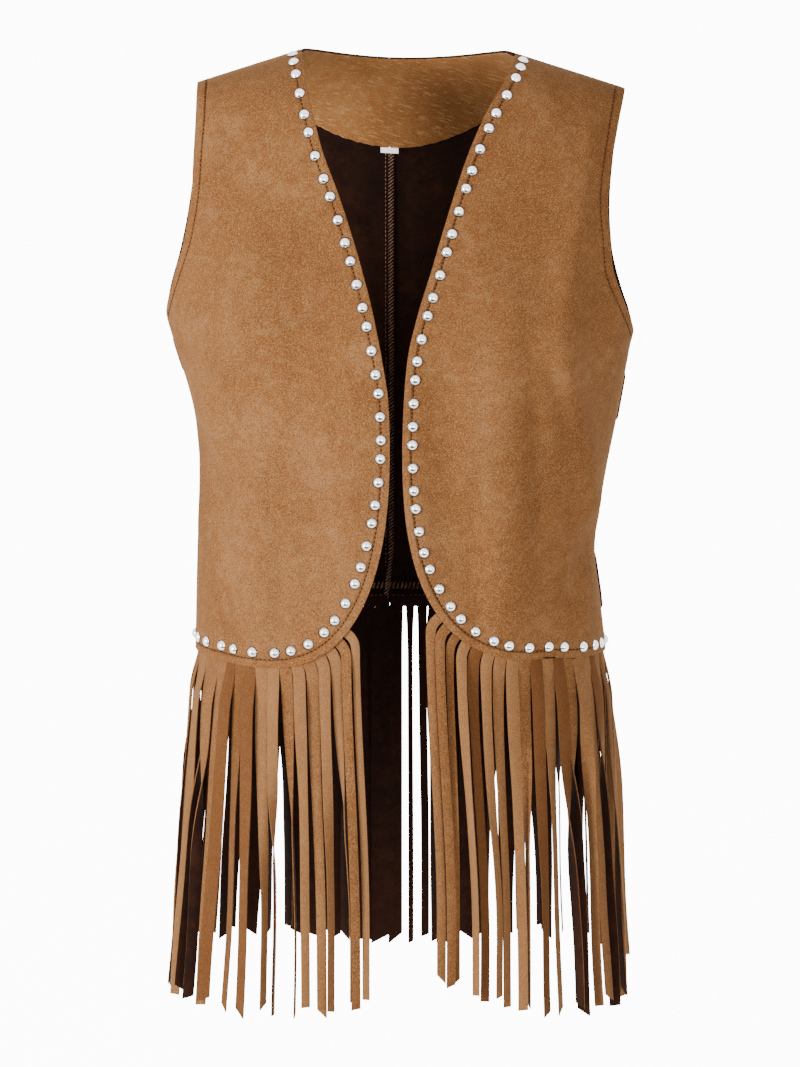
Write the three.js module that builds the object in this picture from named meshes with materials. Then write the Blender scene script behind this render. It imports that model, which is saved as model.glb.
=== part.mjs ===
// Open-front fringe vest in suede cloth, worn form with nobody in it.
// Millimetres, +Z up, -Y is the wearer's front, +X is the wearer's left.
// The origin is the neck end of the shoulder seams, where a wearer's shoulders hold the vest.

import * as THREE from 'three';

// Cloth and seams
const WALL = 1.5;
const SEAM_GAP = 0.3;
const FACING_WALL = 1.2;
const CENTRE_BACK_X = -8;

// Shoulders and neck
const SHOULDER_Y = 5;
const SHOULDER_SLOPE = 0.315;
const LEFT_SHOULDER_DROP = { depth: 3.5, startX: 20, width: 50 };
const NECK_MIDDLE_X = 7;
const NECK_HALF_WIDTH = 81;
const BACK_NECK_DROP = 11.5;
const ROLL_START_Z = -96;
const ROLL_EXPONENT = 2.3;

// Body form: superellipse sections, one depth table for each face
const FRONT_EXPONENT = 2.3;
const BACK_EXPONENT = 2.5;

const HALF_WIDTH = [
  { z: -457, right: 156, left: 157 },
  { z: -414, right: 155, left: 152 },
  { z: -379, right: 154, left: 148 },
  { z: -351, right: 152.5, left: 150.5 },
  { z: -320, right: 151.5, left: 155.5 },
  { z: -280, right: 152.5, left: 163.5 },
  { z: -251, right: 160, left: 168.6 },
  { z: -235, right: 165.4, left: 171.5 },
  { z: -221, right: 169.8, left: 174 },
  { z: -211, right: 172.9, left: 176.4 },
  { z: -197, right: 176.4, left: 178.2 },
  { z: -178, right: 177.6, left: 178.8 },
  { z: -150, right: 176.5, left: 178.2 },
  { z: -96, right: 172, left: 176 },
];

const DEPTH = [
  { z: -457, front: 100, back: 101 },
  { z: -362, front: 107, back: 99 },
  { z: -312, front: 113, back: 98 },
  { z: -262, front: 120, back: 101 },
  { z: -217, front: 124, back: 105 },
  { z: -170, front: 112.5, back: 107 },
  { z: -135, front: 98.5, back: 106 },
  { z: -96, front: 84, back: 101 },
  { z: -60, front: 74, back: 93 },
  { z: -20, front: 66, back: 84 },
  { z: 10, front: 62, back: 78 },
];

// Front edge of each front, from the shoulder seam down to the start of the rounded corner
const FRONT_EDGE = [
  { z: -281, right: -7.4, left: 1.7 },
  { z: -250, right: -8.5, left: 2.8 },
  { z: -215, right: -13.4, left: 5.7 },
  { z: -181.5, right: -20.1, left: 13.5 },
  { z: -153, right: -27.6, left: 22.8 },
  { z: -124, right: -36.5, left: 31.8 },
  { z: -95, right: -46.5, left: 41.2 },
  { z: -66, right: -57.8, left: 51.8 },
  { z: -41, right: -64.5, left: 63.5 },
  { z: -20, right: -69.5, left: 76.8 },
  { z: 0, right: -74, left: 88 },
];

// Rounded lower corner of each front, a quarter superellipse ending in the hem
const CORNER = {
  right: { topZ: -277, width: 98, height: 178, exponent: 2.5, sideHemZ: -454 },
  left: { topZ: -281, width: 112, height: 168, exponent: 2.65, sideHemZ: -455 },
};
const BACK_HEM_Z = -444;

// Armhole edges, distance from the middle plane, underarm point first
const ARMHOLE = {
  right: [
    { z: -197, front: 176.4, back: 176.4 },
    { z: -184, front: 174, back: 175 },
    { z: -160, front: 167.5, back: 169.5 },
    { z: -134, front: 160.4, back: 165 },
    { z: -97, front: 155, back: 160 },
    { z: -75, front: 154, back: 157.5 },
    { z: -46, front: 152.5, back: 154.5 },
    { z: -24, front: 152, back: 152 },
  ],
  left: [
    { z: -211, front: 176.4, back: 176.4 },
    { z: -200, front: 173.8, back: 174 },
    { z: -188, front: 169.5, back: 169.5 },
    { z: -152, front: 158.9, back: 160 },
    { z: -110, front: 154.8, back: 156 },
    { z: -91, front: 156.3, back: 156.8 },
    { z: -55, front: 162.5, back: 161.5 },
    { z: -29.5, front: 168.6, back: 168.6 },
  ],
};
const UNDERARM_Z = { right: -197, left: -211 };
const SHOULDER_TIP_X = { right: 152, left: 168.6 };

// Largest folds: a ridge or trough along the line from (x1, z1) to (x2, z2)
const FOLDS = {
  front: [
    { x1: -110, z1: -165, x2: -136, z2: -262, rise: 5, width: 21 },
    { x1: -133, z1: -250, x2: -146, z2: -352, rise: 4, width: 13 },
    { x1: -72, z1: -195, x2: -66, z2: -395, rise: -4, width: 24 },
    { x1: -107, z1: -300, x2: -110, z2: -440, rise: 3, width: 20 },
    { x1: -118, z1: -60, x2: -104, z2: -140, rise: -3, width: 18 },
    { x1: 32, z1: -240, x2: 40, z2: -372, rise: -4.5, width: 17 },
    { x1: 78, z1: -195, x2: 82, z2: -410, rise: 3.5, width: 19 },
    { x1: 128, z1: -140, x2: 118, z2: -222, rise: 4.5, width: 16 },
    { x1: 148, z1: -165, x2: 150, z2: -268, rise: -4, width: 13 },
    { x1: 118, z1: -215, x2: 143, z2: -335, rise: 4, width: 13 },
    { x1: 103, z1: -35, x2: 121, z2: -95, rise: 2.5, width: 13 },
  ],
  back: [
    { x1: -64, z1: -150, x2: -76, z2: -420, rise: -4, width: 22 },
    { x1: -112, z1: -190, x2: -122, z2: -400, rise: 3.5, width: 18 },
    { x1: -30, z1: -240, x2: -34, z2: -425, rise: 2.5, width: 15 },
    { x1: 40, z1: -210, x2: 34, z2: -430, rise: 3, width: 17 },
    { x1: 82, z1: -140, x2: 76, z2: -400, rise: -4, width: 21 },
    { x1: 126, z1: -175, x2: 118, z2: -380, rise: 3.5, width: 17 },
  ],
};

// Grid of each panel
const COLUMNS = 15;
const NECK_COLUMNS = 7;
const FACING_COLUMNS = 10;
const CORNER_ROWS = 10;
const ARMHOLE_ROWS = [0, 5, 15, 34, 66];
const ROWS_BELOW_ARMHOLE = [-56, -28];
const FRONT_ROLL_SHARES = [0.22, 0.42, 0.62, 0.81, 1];
const BACK_ROW_SHARES = [0, 0.14, 0.3, 0.46, 0.6, 0.73, 0.87, 1];
const FACING_ROW_SHARES = [0, 0.26, 0.52, 0.77, 1];
const EDGE_STEPS = 60;

// How far the rows of the back lean towards the neck: a share per mm above the underarm, then fixed shares
const LEAN_PER_MM = 1 / 600;
const MIDDLE_ROW = { lean: 0.3, z: -130 };
const FACING_LEAN = 0.5;

// Folds fade out over this angle from the side seams, and past their ends over a share of their width
const FOLD_FADE_ANGLE = 0.3;
const FOLD_END_SHARE = 1.6;

// Steps for measuring the direction of the form
const ANGLE_STEP = 0.004;
const HEIGHT_STEP = 0.3;

// Facing inside the back neck, and its small folded label
const FACING_DEPTH_Z = -84;
const FACING_RISE = 17.6;
const FACING_RISE_AT = 60;
const FACING_HIGHEST_Z = -45;
const LABEL = { width: 14, drop: 5.2, leaf: 0.7, slit: 0.8, below: 0.8 };

// Domed studs along the front edges and hems
const STUD_RADIUS = 4;
const STUD_HEIGHT = 2.6;
const STUD_PITCH = 17;
const STUD_END_CLEARANCE = 9;
const THREAD_HALF_WIDTH = 0.45;
const THREAD_HEIGHT = 0.5;
const STUD_SEAT = 0.75;
const STUD_DRIFT = 1.4;
const DOME_BEND = { across: 0.78, up: 0.62 };
const STUD_SECTIONS = [-1, -0.55, 0.55, 1];
const STUD_INSET = [
  { along: 0, right: 6.6, left: 6.6 },
  { along: 0.5, right: 6.6, left: 7.5 },
  { along: 0.62, right: 11, left: 9 },
  { along: 0.72, right: 13, left: 12 },
  { along: 0.85, right: 11.5, left: 9 },
  { along: 1, right: 11, left: 7 },
];

// Fringe
const STRAND_PITCH = 9.6;
const STRAND_SLIT = 0.8;
const STRAND_WALL = 1.2;
const STRIP_HEIGHT = 8;
const STRIP_INSET = 0.8;
const STRIP_SEAT = 0.85;
const SEAM_CLEARANCE_ANGLE = 0.006;
const STRAND_STEPS = [0, 8, 22, 62, 130, 204, 274];
const STRAND_BEND = 24;
const TIP_SLANT = 0.7;
const TIP_TURN = 2.0;
const LAYER_OFFSET = 1.7;
const SIDE_FLARE = { right: 0.075, left: 0.055 };
const SIDE_KICK = { out: 5, over: 40, startX: 70, width: 70 };
const LAYER_OVER = 60;
const STRAND_SWAY = { short: 3.4, shortTurn: 1.9, long: 1.5, longTurn: 0.53, over: 230 };
const STRAND_TWIST = { few: 1.35, most: 0.3, turn: 2.7 };
const TIP_UNEVEN = { height: 3.8, turn: 4.1 };
const QUIET_STRANDS = 3;
const FRINGE_START_X = { right: -36.5, left: 26 };
const FRINGE_TIPS = [
  { x: -180, front: -708, back: -700 },
  { x: -140, front: -718, back: -697 },
  { x: -95, front: -721, back: -700 },
  { x: -50, front: -715, back: -705 },
  { x: -15, front: -694, back: -709 },
  { x: 30, front: -694, back: -711 },
  { x: 60, front: -709, back: -704 },
  { x: 120, front: -722, back: -698 },
  { x: 180, front: -723, back: -700 },
];

const SUEDE = new THREE.MeshStandardMaterial({ color: 0xa5734a, roughness: 0.95, metalness: 0 });
const SUEDE_FACING = new THREE.MeshStandardMaterial({ color: 0x9a6a40, roughness: 0.95, metalness: 0 });
const SUEDE_FRINGE = new THREE.MeshStandardMaterial({ color: 0xa06f46, roughness: 0.95, metalness: 0 });
const STUD_METAL = new THREE.MeshStandardMaterial({ color: 0xd9dadc, roughness: 0.18, metalness: 1 });
const LABEL_CLOTH = new THREE.MeshStandardMaterial({ color: 0xf2f2ee, roughness: 0.8, metalness: 0 });

const SIGN = { right: -1, left: 1 };

function smoothstep(t) {
  const s = THREE.MathUtils.clamp(t, 0, 1);
  return s * s * (3 - 2 * s);
}

function slopeBetween(a, b, along, key) {
  return (b[key] - a[key]) / (b[along] - a[along]);
}

// Smooth value of one named column of a table, without overshoot between its rows
function lookup(table, key, value, along = 'z') {
  const rows = [...table].sort((a, b) => a[along] - b[along]);
  const last = rows.length - 1;
  if (value <= rows[0][along]) return rows[0][key];
  if (value >= rows[last][along]) return rows[last][key];
  const i = rows.findIndex((row) => row[along] >= value) - 1;
  const slope = slopeBetween(rows[i], rows[i + 1], along, key);
  const tangent = (k) => {
    if (k === 0 || k === last) return slope;
    const before = slopeBetween(rows[k - 1], rows[k], along, key);
    const after = slopeBetween(rows[k], rows[k + 1], along, key);
    return before * after > 0 ? (2 * before * after) / (before + after) : 0;
  };
  const length = rows[i + 1][along] - rows[i][along];
  const t = (value - rows[i][along]) / length;
  const start = rows[i][key] * (1 + 2 * t) * (1 - t) ** 2 + length * t * (1 - t) ** 2 * tangent(i);
  const end = rows[i + 1][key] * t * t * (3 - 2 * t) - length * t * t * (1 - t) * tangent(i + 1);
  return start + end;
}

// Height of the shoulder line over x, carried on smoothly across the neck
function shoulderZ(x) {
  const t = Math.abs(x - NECK_MIDDLE_X) / NECK_HALF_WIDTH;
  const rise = SHOULDER_SLOPE * NECK_HALF_WIDTH;
  const { depth, startX, width } = LEFT_SHOULDER_DROP;
  const drop = depth * smoothstep((x - startX) / width);
  return (t < 1 ? (rise / 2) * (1 - t * t) : -rise * (t - 1)) - drop;
}

function sideOf(x) {
  return x < 0 ? 'right' : 'left';
}

function halfWidth(side, z) {
  return lookup(HALF_WIDTH, side, Math.min(z, ROLL_START_Z));
}

// Angle round the section: 0 in the middle of the face, 90 degrees at the side seam
function angleAt(face, x, z) {
  const exponent = face === 'front' ? FRONT_EXPONENT : BACK_EXPONENT;
  const ratio = Math.min(1, Math.abs(x) / halfWidth(sideOf(x), z));
  return Math.sign(x) * Math.asin(ratio ** (exponent / 2));
}

function xAt(face, angle, z) {
  const exponent = face === 'front' ? FRONT_EXPONENT : BACK_EXPONENT;
  const side = angle < 0 ? 'right' : 'left';
  return Math.sign(angle) * halfWidth(side, z) * Math.abs(Math.sin(angle)) ** (2 / exponent);
}

// Fraction of the shoulder roll that is left at height z: 1 below it, 0 on the shoulder seam
function rollAt(x, z) {
  const w = THREE.MathUtils.clamp((z - ROLL_START_Z) / (shoulderZ(x) - ROLL_START_Z), 0, 1);
  return (1 - w ** ROLL_EXPONENT) ** (1 / ROLL_EXPONENT);
}

// Height on the roll for a roll angle from 0 at its start to 90 degrees on the shoulder seam
function rollZ(x, roll) {
  return ROLL_START_Z + (shoulderZ(x) - ROLL_START_Z) * Math.sin(roll) ** (2 / ROLL_EXPONENT);
}

function rollAngle(x, z) {
  const w = THREE.MathUtils.clamp((z - ROLL_START_Z) / (shoulderZ(x) - ROLL_START_Z), 0, 1);
  return Math.asin(w ** (ROLL_EXPONENT / 2));
}

function foldAt(face, angle, x, z) {
  const fade = smoothstep((Math.PI / 2 - Math.abs(angle)) / FOLD_FADE_ANGLE) * rollAt(x, z);
  let sum = 0;
  for (const fold of FOLDS[face]) {
    const dx = fold.x2 - fold.x1;
    const dz = fold.z2 - fold.z1;
    const length = Math.hypot(dx, dz);
    const along = ((x - fold.x1) * dx + (z - fold.z1) * dz) / length;
    const across = ((x - fold.x1) * dz - (z - fold.z1) * dx) / length;
    const over = Math.max(0, -along, along - length) / (FOLD_END_SHARE * fold.width);
    sum += fold.rise * Math.exp(-((across / fold.width) ** 2) - over * over);
  }
  return sum * fade;
}

// Point of the form without folds; angle may be past 90 degrees for a difference at the seam
function plainForm(face, angle, z) {
  const exponent = face === 'front' ? FRONT_EXPONENT : BACK_EXPONENT;
  const x = xAt(face, angle, z);
  const cosine = Math.cos(angle);
  const depth = lookup(DEPTH, face, z);
  const flat = depth * Math.sign(cosine) * Math.abs(cosine) ** (2 / exponent);
  const y = face === 'front' ? -flat : flat;
  const roll = rollAt(x, z);
  return new THREE.Vector3(x, SHOULDER_Y * (1 - roll) + y * roll, z);
}

// Outward direction of the form, level with the seams where two panels meet
function formNormal(face, angle, z, seam) {
  const low = Math.min(z, shoulderZ(xAt(face, angle, z)) - HEIGHT_STEP - 0.1);
  const around = plainForm(face, angle + ANGLE_STEP, low).sub(plainForm(face, angle - ANGLE_STEP, low));
  const x = xAt(face, angle, low);
  const up = plainForm(face, angleAt(face, x, low + HEIGHT_STEP), low + HEIGHT_STEP);
  const down = plainForm(face, angleAt(face, x, low - HEIGHT_STEP), low - HEIGHT_STEP);
  const normal = around.cross(up.sub(down)).normalize();
  const side = new THREE.Vector3(0, face === 'front' ? -1 : 1, 0);
  if (normal.dot(side) < 0 && Math.abs(angle) < 1.5) normal.negate();
  if (seam === 'side') {
    return new THREE.Vector3(Math.sign(angle), 0, 0);
  }
  if (seam === 'shoulder') {
    return new THREE.Vector3(Math.sign(x) * SHOULDER_SLOPE, 0, 1).normalize();
  }
  if (seam === 'centre') normal.setX(0).normalize();
  return normal;
}

// One vertex of a panel: the form, its fold, and half a seam gap kept from the neighbour
function panelVertex(face, angle, z, seam) {
  const normal = formNormal(face, angle, z, seam);
  const point = plainForm(face, angle, z);
  point.addScaledVector(normal, foldAt(face, angle, point.x, z));
  const away = face === 'front' ? -SEAM_GAP / 2 : SEAM_GAP / 2;
  if (seam === 'side') point.y = away;
  if (seam === 'shoulder') point.y = SHOULDER_Y + away;
  return { outer: point, normal, inner: point.clone().addScaledVector(normal, -WALL) };
}

// Lower edge of a front: a superellipse corner for x nearer the middle than its width
function cornerPoint(side, turn) {
  const corner = CORNER[side];
  const edgeX = lookup(FRONT_EDGE, side, corner.topZ);
  const x = edgeX + SIGN[side] * corner.width * (1 - Math.cos(turn) ** (2 / corner.exponent));
  return { x, z: corner.topZ - corner.height * Math.sin(turn) ** (2 / corner.exponent) };
}

function hemZ(face, side, x) {
  const width = halfWidth(side, CORNER[side].sideHemZ);
  if (face === 'back') {
    const share = (x / width) ** 2;
    return BACK_HEM_Z + (CORNER[side].sideHemZ - BACK_HEM_Z) * share;
  }
  const start = cornerPoint(side, Math.PI / 2);
  const share = THREE.MathUtils.clamp((x - start.x) / (SIGN[side] * width - start.x), 0, 1);
  return start.z + (CORNER[side].sideHemZ - start.z) * share;
}

// Where a panel's row, given as a height over x, meets an edge given as x over height
function meetEdge(edgeX, rowZ) {
  let z = rowZ(edgeX(ROLL_START_Z));
  for (let i = 0; i < 30; i += 1) {
    z = (z + rowZ(edgeX(z))) / 2;
  }
  return { x: edgeX(z), z };
}

function frontPanel(side) {
  const corner = CORNER[side];
  const edge = (z) => lookup(FRONT_EDGE, side, z);
  const armhole = (z) => SIGN[side] * lookup(ARMHOLE[side], 'front', z);
  const rows = [];
  for (let j = 0; j <= CORNER_ROWS; j += 1) {
    const start = cornerPoint(side, (Math.PI / 2) * (1 - j / CORNER_ROWS));
    const share = (corner.topZ - start.z) / corner.height;
    const heightAt = (x) => corner.topZ + (hemZ('front', side, x) - corner.topZ) * share;
    rows.push({ start, heightAt });
  }
  const underarm = UNDERARM_Z[side];
  const belowUnderarm = ROWS_BELOW_ARMHOLE.map((rise) => underarm + rise);
  const aboveUnderarm = ARMHOLE_ROWS.map((rise) => underarm + rise);
  for (const z of [...belowUnderarm, ...aboveUnderarm, ROLL_START_Z]) {
    rows.push({ start: { x: edge(z), z }, heightAt: () => z });
  }
  for (const share of FRONT_ROLL_SHARES) {
    const heightAt = (x) => rollZ(x, (share * Math.PI) / 2);
    rows.push({ start: meetEdge(edge, heightAt), heightAt, seam: share === 1 ? 'shoulder' : null });
  }
  return rows.map(({ start, heightAt, seam }) => {
    const end = start.z > underarm ? meetEdge(armhole, heightAt) : null;
    const first = angleAt('front', start.x, start.z);
    const last = end ? angleAt('front', end.x, end.z) : (SIGN[side] * Math.PI) / 2;
    const row = [];
    for (let c = 0; c <= COLUMNS; c += 1) {
      const angle = first + ((last - first) * c) / COLUMNS;
      const flatZ = c === 0 ? start.z : heightAt(xAt('front', angle, start.z));
      const atSide = c === COLUMNS && start.z <= UNDERARM_Z[side] ? 'side' : null;
      row.push(panelVertex('front', angle, flatZ, seam ?? atSide));
    }
    return row;
  });
}

function backNeckZ(x) {
  return -BACK_NECK_DROP * (1 - ((x - NECK_MIDDLE_X) / NECK_HALF_WIDTH) ** 2);
}

// Lower edge of the facing, which is also a row of each back panel
function facingZ(x) {
  const rise = FACING_RISE * ((x - CENTRE_BACK_X / 4) / FACING_RISE_AT) ** 2;
  return Math.min(FACING_HIGHEST_Z, FACING_DEPTH_Z + rise);
}

function backPanel(side) {
  const neckX = lookup(FRONT_EDGE, side, 0);
  const tipX = SIGN[side] * SHOULDER_TIP_X[side];
  const armhole = (z) => SIGN[side] * lookup(ARMHOLE[side], 'back', z);
  const topX = (c) => (c <= NECK_COLUMNS
    ? CENTRE_BACK_X + ((neckX - CENTRE_BACK_X) * c) / NECK_COLUMNS
    : neckX + ((tipX - neckX) * (c - NECK_COLUMNS)) / (COLUMNS - NECK_COLUMNS));
  const topRoll = (x, c) => (c <= NECK_COLUMNS ? rollAngle(x, backNeckZ(x)) : Math.PI / 2);
  const rows = [];
  for (const share of BACK_ROW_SHARES) {
    const heightAt = (x) => {
      const bottom = hemZ('back', side, x);
      return bottom + (UNDERARM_Z[side] - bottom) * share;
    };
    rows.push({ heightAt, lean: 0, seam: 'side' });
  }
  for (const rise of ARMHOLE_ROWS.slice(1)) {
    rows.push({ heightAt: () => UNDERARM_Z[side] + rise, lean: rise * LEAN_PER_MM });
  }
  rows.push({ heightAt: (x) => (facingZ(x) + MIDDLE_ROW.z) / 2, lean: MIDDLE_ROW.lean });
  for (const share of FACING_ROW_SHARES) {
    const heightAt = (x, c) => {
      const low = rollAngle(x, facingZ(x));
      return rollZ(x, low + (topRoll(x, c) - low) * share);
    };
    const lean = FACING_LEAN + (1 - FACING_LEAN) * share;
    rows.push({ heightAt, lean, seam: share === 1 ? 'shoulder' : null });
  }
  return rows.map(({ heightAt, lean, seam }) => {
    const rowZ = (x) => heightAt(x, COLUMNS);
    const end = seam === 'side' ? null : meetEdge(armhole, rowZ);
    const endZ = end ? end.z : heightAt(SIGN[side] * halfWidth(side, CORNER[side].sideHemZ), COLUMNS);
    const first = angleAt('back', CENTRE_BACK_X, endZ);
    const last = end ? angleAt('back', end.x, endZ) : (SIGN[side] * Math.PI) / 2;
    const row = [];
    for (let c = 0; c <= COLUMNS; c += 1) {
      const evenX = xAt('back', first + ((last - first) * c) / COLUMNS, endZ);
      const x = evenX + (topX(c) - evenX) * lean;
      const z = heightAt(x, c);
      const angle = c === COLUMNS && seam === 'side' ? last : angleAt('back', x, z);
      const atShoulder = seam === 'shoulder' && c >= NECK_COLUMNS ? 'shoulder' : null;
      const atSide = seam === 'side' && c === COLUMNS ? 'side' : null;
      const vertex = panelVertex('back', angle, z, atShoulder ?? atSide ?? (c === 0 ? 'centre' : null));
      if (c === 0) {
        vertex.outer.x = CENTRE_BACK_X + (SIGN[side] * SEAM_GAP) / 2;
        vertex.inner.x = vertex.outer.x;
      }
      row.push(vertex);
    }
    return row;
  });
}

// Closed mesh from a list of points and triangles, turned so that its faces point out
function closedGeometry(points, triangles) {
  const corner = (i) => points[i];
  let volume = 0;
  for (const [a, b, c] of triangles) {
    volume += corner(a).dot(corner(b).clone().cross(corner(c)));
  }
  const ordered = volume > 0 ? triangles : triangles.map(([a, b, c]) => [a, c, b]);
  const geometry = new THREE.BufferGeometry();
  const positions = points.flatMap((p) => [p.x, p.y, p.z]);
  geometry.setAttribute('position', new THREE.Float32BufferAttribute(positions, 3));
  geometry.setIndex(ordered.flat());
  geometry.computeVertexNormals();
  return geometry;
}

function quad(a, b, c, d) {
  return [[a, b, c], [a, c, d]];
}

// Wall between two grids of the same size
function wallGeometry(outer, inner) {
  const height = outer.length;
  const width = outer[0].length;
  const points = [...outer.flat(), ...inner.flat()];
  const at = (r, c) => r * width + c;
  const under = (r, c) => height * width + at(r, c);
  const triangles = [];
  for (let r = 0; r < height - 1; r += 1) {
    for (let c = 0; c < width - 1; c += 1) {
      triangles.push(...quad(at(r, c), at(r, c + 1), at(r + 1, c + 1), at(r + 1, c)));
      triangles.push(...quad(under(r + 1, c), under(r + 1, c + 1), under(r, c + 1), under(r, c)));
    }
  }
  const border = [];
  for (let c = 0; c < width - 1; c += 1) border.push([0, c]);
  for (let r = 0; r < height - 1; r += 1) border.push([r, width - 1]);
  for (let c = width - 1; c > 0; c -= 1) border.push([height - 1, c]);
  for (let r = height - 1; r > 0; r -= 1) border.push([r, 0]);
  border.forEach(([r, c], i) => {
    const [nextR, nextC] = border[(i + 1) % border.length];
    triangles.push(...quad(at(r, c), under(r, c), under(nextR, nextC), at(nextR, nextC)));
  });
  return closedGeometry(points, triangles);
}

function panelGeometry(panel) {
  const pick = (key) => panel.map((row) => row.map((vertex) => vertex[key]));
  return wallGeometry(pick('outer'), pick('inner'));
}

// Point of a panel's faceted outer or inner surface on the line through a point along its normal
function facetPoint(panel, key, point, normal) {
  let best = null;
  for (let r = 0; r < panel.length - 1; r += 1) {
    for (let c = 0; c < COLUMNS; c += 1) {
      const cell = [panel[r][c], panel[r][c + 1], panel[r + 1][c + 1], panel[r + 1][c]];
      const [p, q, s, t] = cell.map((vertex) => vertex[key]);
      for (const [a, b, d] of [[p, q, s], [p, s, t]]) {
        const first = b.clone().sub(a);
        const second = d.clone().sub(a);
        const plane = first.clone().cross(second);
        const along = plane.dot(a.clone().sub(point)) / plane.dot(normal);
        const hit = point.clone().addScaledVector(normal, along);
        const offset = hit.clone().sub(a);
        const u = offset.clone().cross(second).dot(plane) / plane.lengthSq();
        const v = first.clone().cross(offset).dot(plane) / plane.lengthSq();
        const outside = Math.max(0, -u, -v, u + v - 1) + Math.abs(along) / 1000;
        if (Number.isFinite(outside) && (!best || outside < best.outside)) best = { outside, hit };
      }
    }
  }
  return best.hit;
}

// Closely spaced points of a panel's lower edge with the direction into the panel, seen from the front
function lowerEdge(face, side) {
  const points = [];
  const cornerEnd = cornerPoint(side, Math.PI / 2);
  if (face === 'front') {
    const edgeTop = CORNER[side].topZ;
    for (let i = 0; i < EDGE_STEPS; i += 1) {
      const z = (edgeTop * i) / EDGE_STEPS;
      points.push({ x: lookup(FRONT_EDGE, side, z), z });
    }
    for (let i = 0; i < EDGE_STEPS; i += 1) points.push(cornerPoint(side, ((Math.PI / 2) * i) / EDGE_STEPS));
  }
  const startX = face === 'front' ? cornerEnd.x : CENTRE_BACK_X + SIGN[side];
  const sideZ = CORNER[side].sideHemZ;
  const first = angleAt(face, startX, sideZ);
  const last = SIGN[side] * (Math.PI / 2 - SEAM_CLEARANCE_ANGLE);
  for (let i = 0; i <= EDGE_STEPS; i += 1) {
    const x = xAt(face, first + ((last - first) * i) / EDGE_STEPS, sideZ);
    points.push({ x, z: hemZ(face, side, x), onHem: true });
  }
  return points.map((point, i) => {
    if (point.onHem) return { x: point.x, z: point.z, nx: 0, nz: 1 };
    const before = points[Math.max(0, i - 1)];
    const after = points[Math.min(points.length - 1, i + 1)];
    const length = Math.hypot(after.x - before.x, after.z - before.z);
    const nx = (-(after.z - before.z) / length) * SIGN[side];
    const nz = ((after.x - before.x) / length) * SIGN[side];
    return { x: point.x, z: point.z, nx, nz };
  });
}

// Places at given distances along the lower edge, measured round the body
function edgeWalk(face, side) {
  const stations = lowerEdge(face, side);
  let length = 0;
  const solid = stations.map(({ x, z }) => plainForm(face, angleAt(face, x, z), z));
  stations.forEach((station, i) => {
    length += i > 0 ? solid[i].distanceTo(solid[i - 1]) : 0;
    station.along = length;
  });
  const at = (along) => {
    const i = Math.min(stations.length - 2, Math.max(0, stations.findIndex((s) => s.along > along) - 1));
    const [a, b] = [stations[i], stations[i + 1]];
    const t = (along - a.along) / (b.along - a.along);
    const mix = (key) => a[key] + (b[key] - a[key]) * t;
    return { x: mix('x'), z: mix('z'), nx: mix('nx'), nz: mix('nz') };
  };
  return { length, stations, at };
}

// A point on a panel at an angle and height, lifted off its outer or inner face
function liftedPoint(face, panel, key, angle, z, lift) {
  const normal = formNormal(face, angle, z);
  return facetPoint(panel, key, plainForm(face, angle, z), normal).addScaledVector(normal, lift);
}

// Angle and height of the point a distance in from a place on the lower edge
function insetPlace(face, place, inset) {
  const z = place.z + place.nz * inset;
  const x = xAt(face, angleAt(face, place.x, place.z), z) + place.nx * inset;
  return { angle: angleAt(face, x, z), z };
}

function trimPoint(face, panel, key, place, inset, lift) {
  const { angle, z } = insetPlace(face, place, inset);
  return liftedPoint(face, panel, key, angle, z, lift);
}

function studRow(side, panel) {
  const walk = edgeWalk('front', side);
  const run = walk.length - 2 * STUD_END_CLEARANCE;
  const count = Math.round(run / STUD_PITCH);
  const sections = [];
  const section = (along, half, height) => {
    const inset = lookup(STUD_INSET, side, along / walk.length, 'along');
    const bend = { across: DOME_BEND.across * half, up: DOME_BEND.up * height };
    const profile = [[-half, 0], [-bend.across, bend.up], [0, height], [bend.across, bend.up], [half, 0]];
    const place = walk.at(along);
    sections.push(profile.map(([across, up]) => (
      trimPoint('front', panel, 'outer', place, inset + across, STUD_SEAT + up))));
  };
  const middleOf = (i) => {
    const drift = i > 0 && i < count ? STUD_DRIFT * Math.sin(2.1 * i) : 0;
    return STUD_END_CLEARANCE + (run * i) / count + drift;
  };
  for (let i = 0; i <= count; i += 1) {
    for (const share of STUD_SECTIONS) {
      const round = Math.sqrt(1 - share * share);
      const half = Math.max(THREAD_HALF_WIDTH, STUD_RADIUS * round);
      const height = Math.max(THREAD_HEIGHT, STUD_HEIGHT * round);
      section(middleOf(i) + share * STUD_RADIUS, half, height);
    }
    if (i < count) section((middleOf(i) + middleOf(i + 1)) / 2, THREAD_HALF_WIDTH, THREAD_HEIGHT);
  }
  return ringsGeometry(sections);
}

// Closed mesh through rings of the same number of points, with flat ends
function ringsGeometry(rings) {
  const size = rings[0].length;
  const triangles = [];
  for (let r = 0; r < rings.length - 1; r += 1) {
    for (let k = 0; k < size; k += 1) {
      const next = (k + 1) % size;
      triangles.push(...quad(r * size + k, r * size + next, (r + 1) * size + next, (r + 1) * size + k));
    }
  }
  const last = (rings.length - 1) * size;
  for (let k = 1; k < size - 1; k += 1) {
    triangles.push([0, k + 1, k]);
    triangles.push([last, last + k, last + k + 1]);
  }
  return closedGeometry(rings.flat(), triangles);
}

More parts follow.
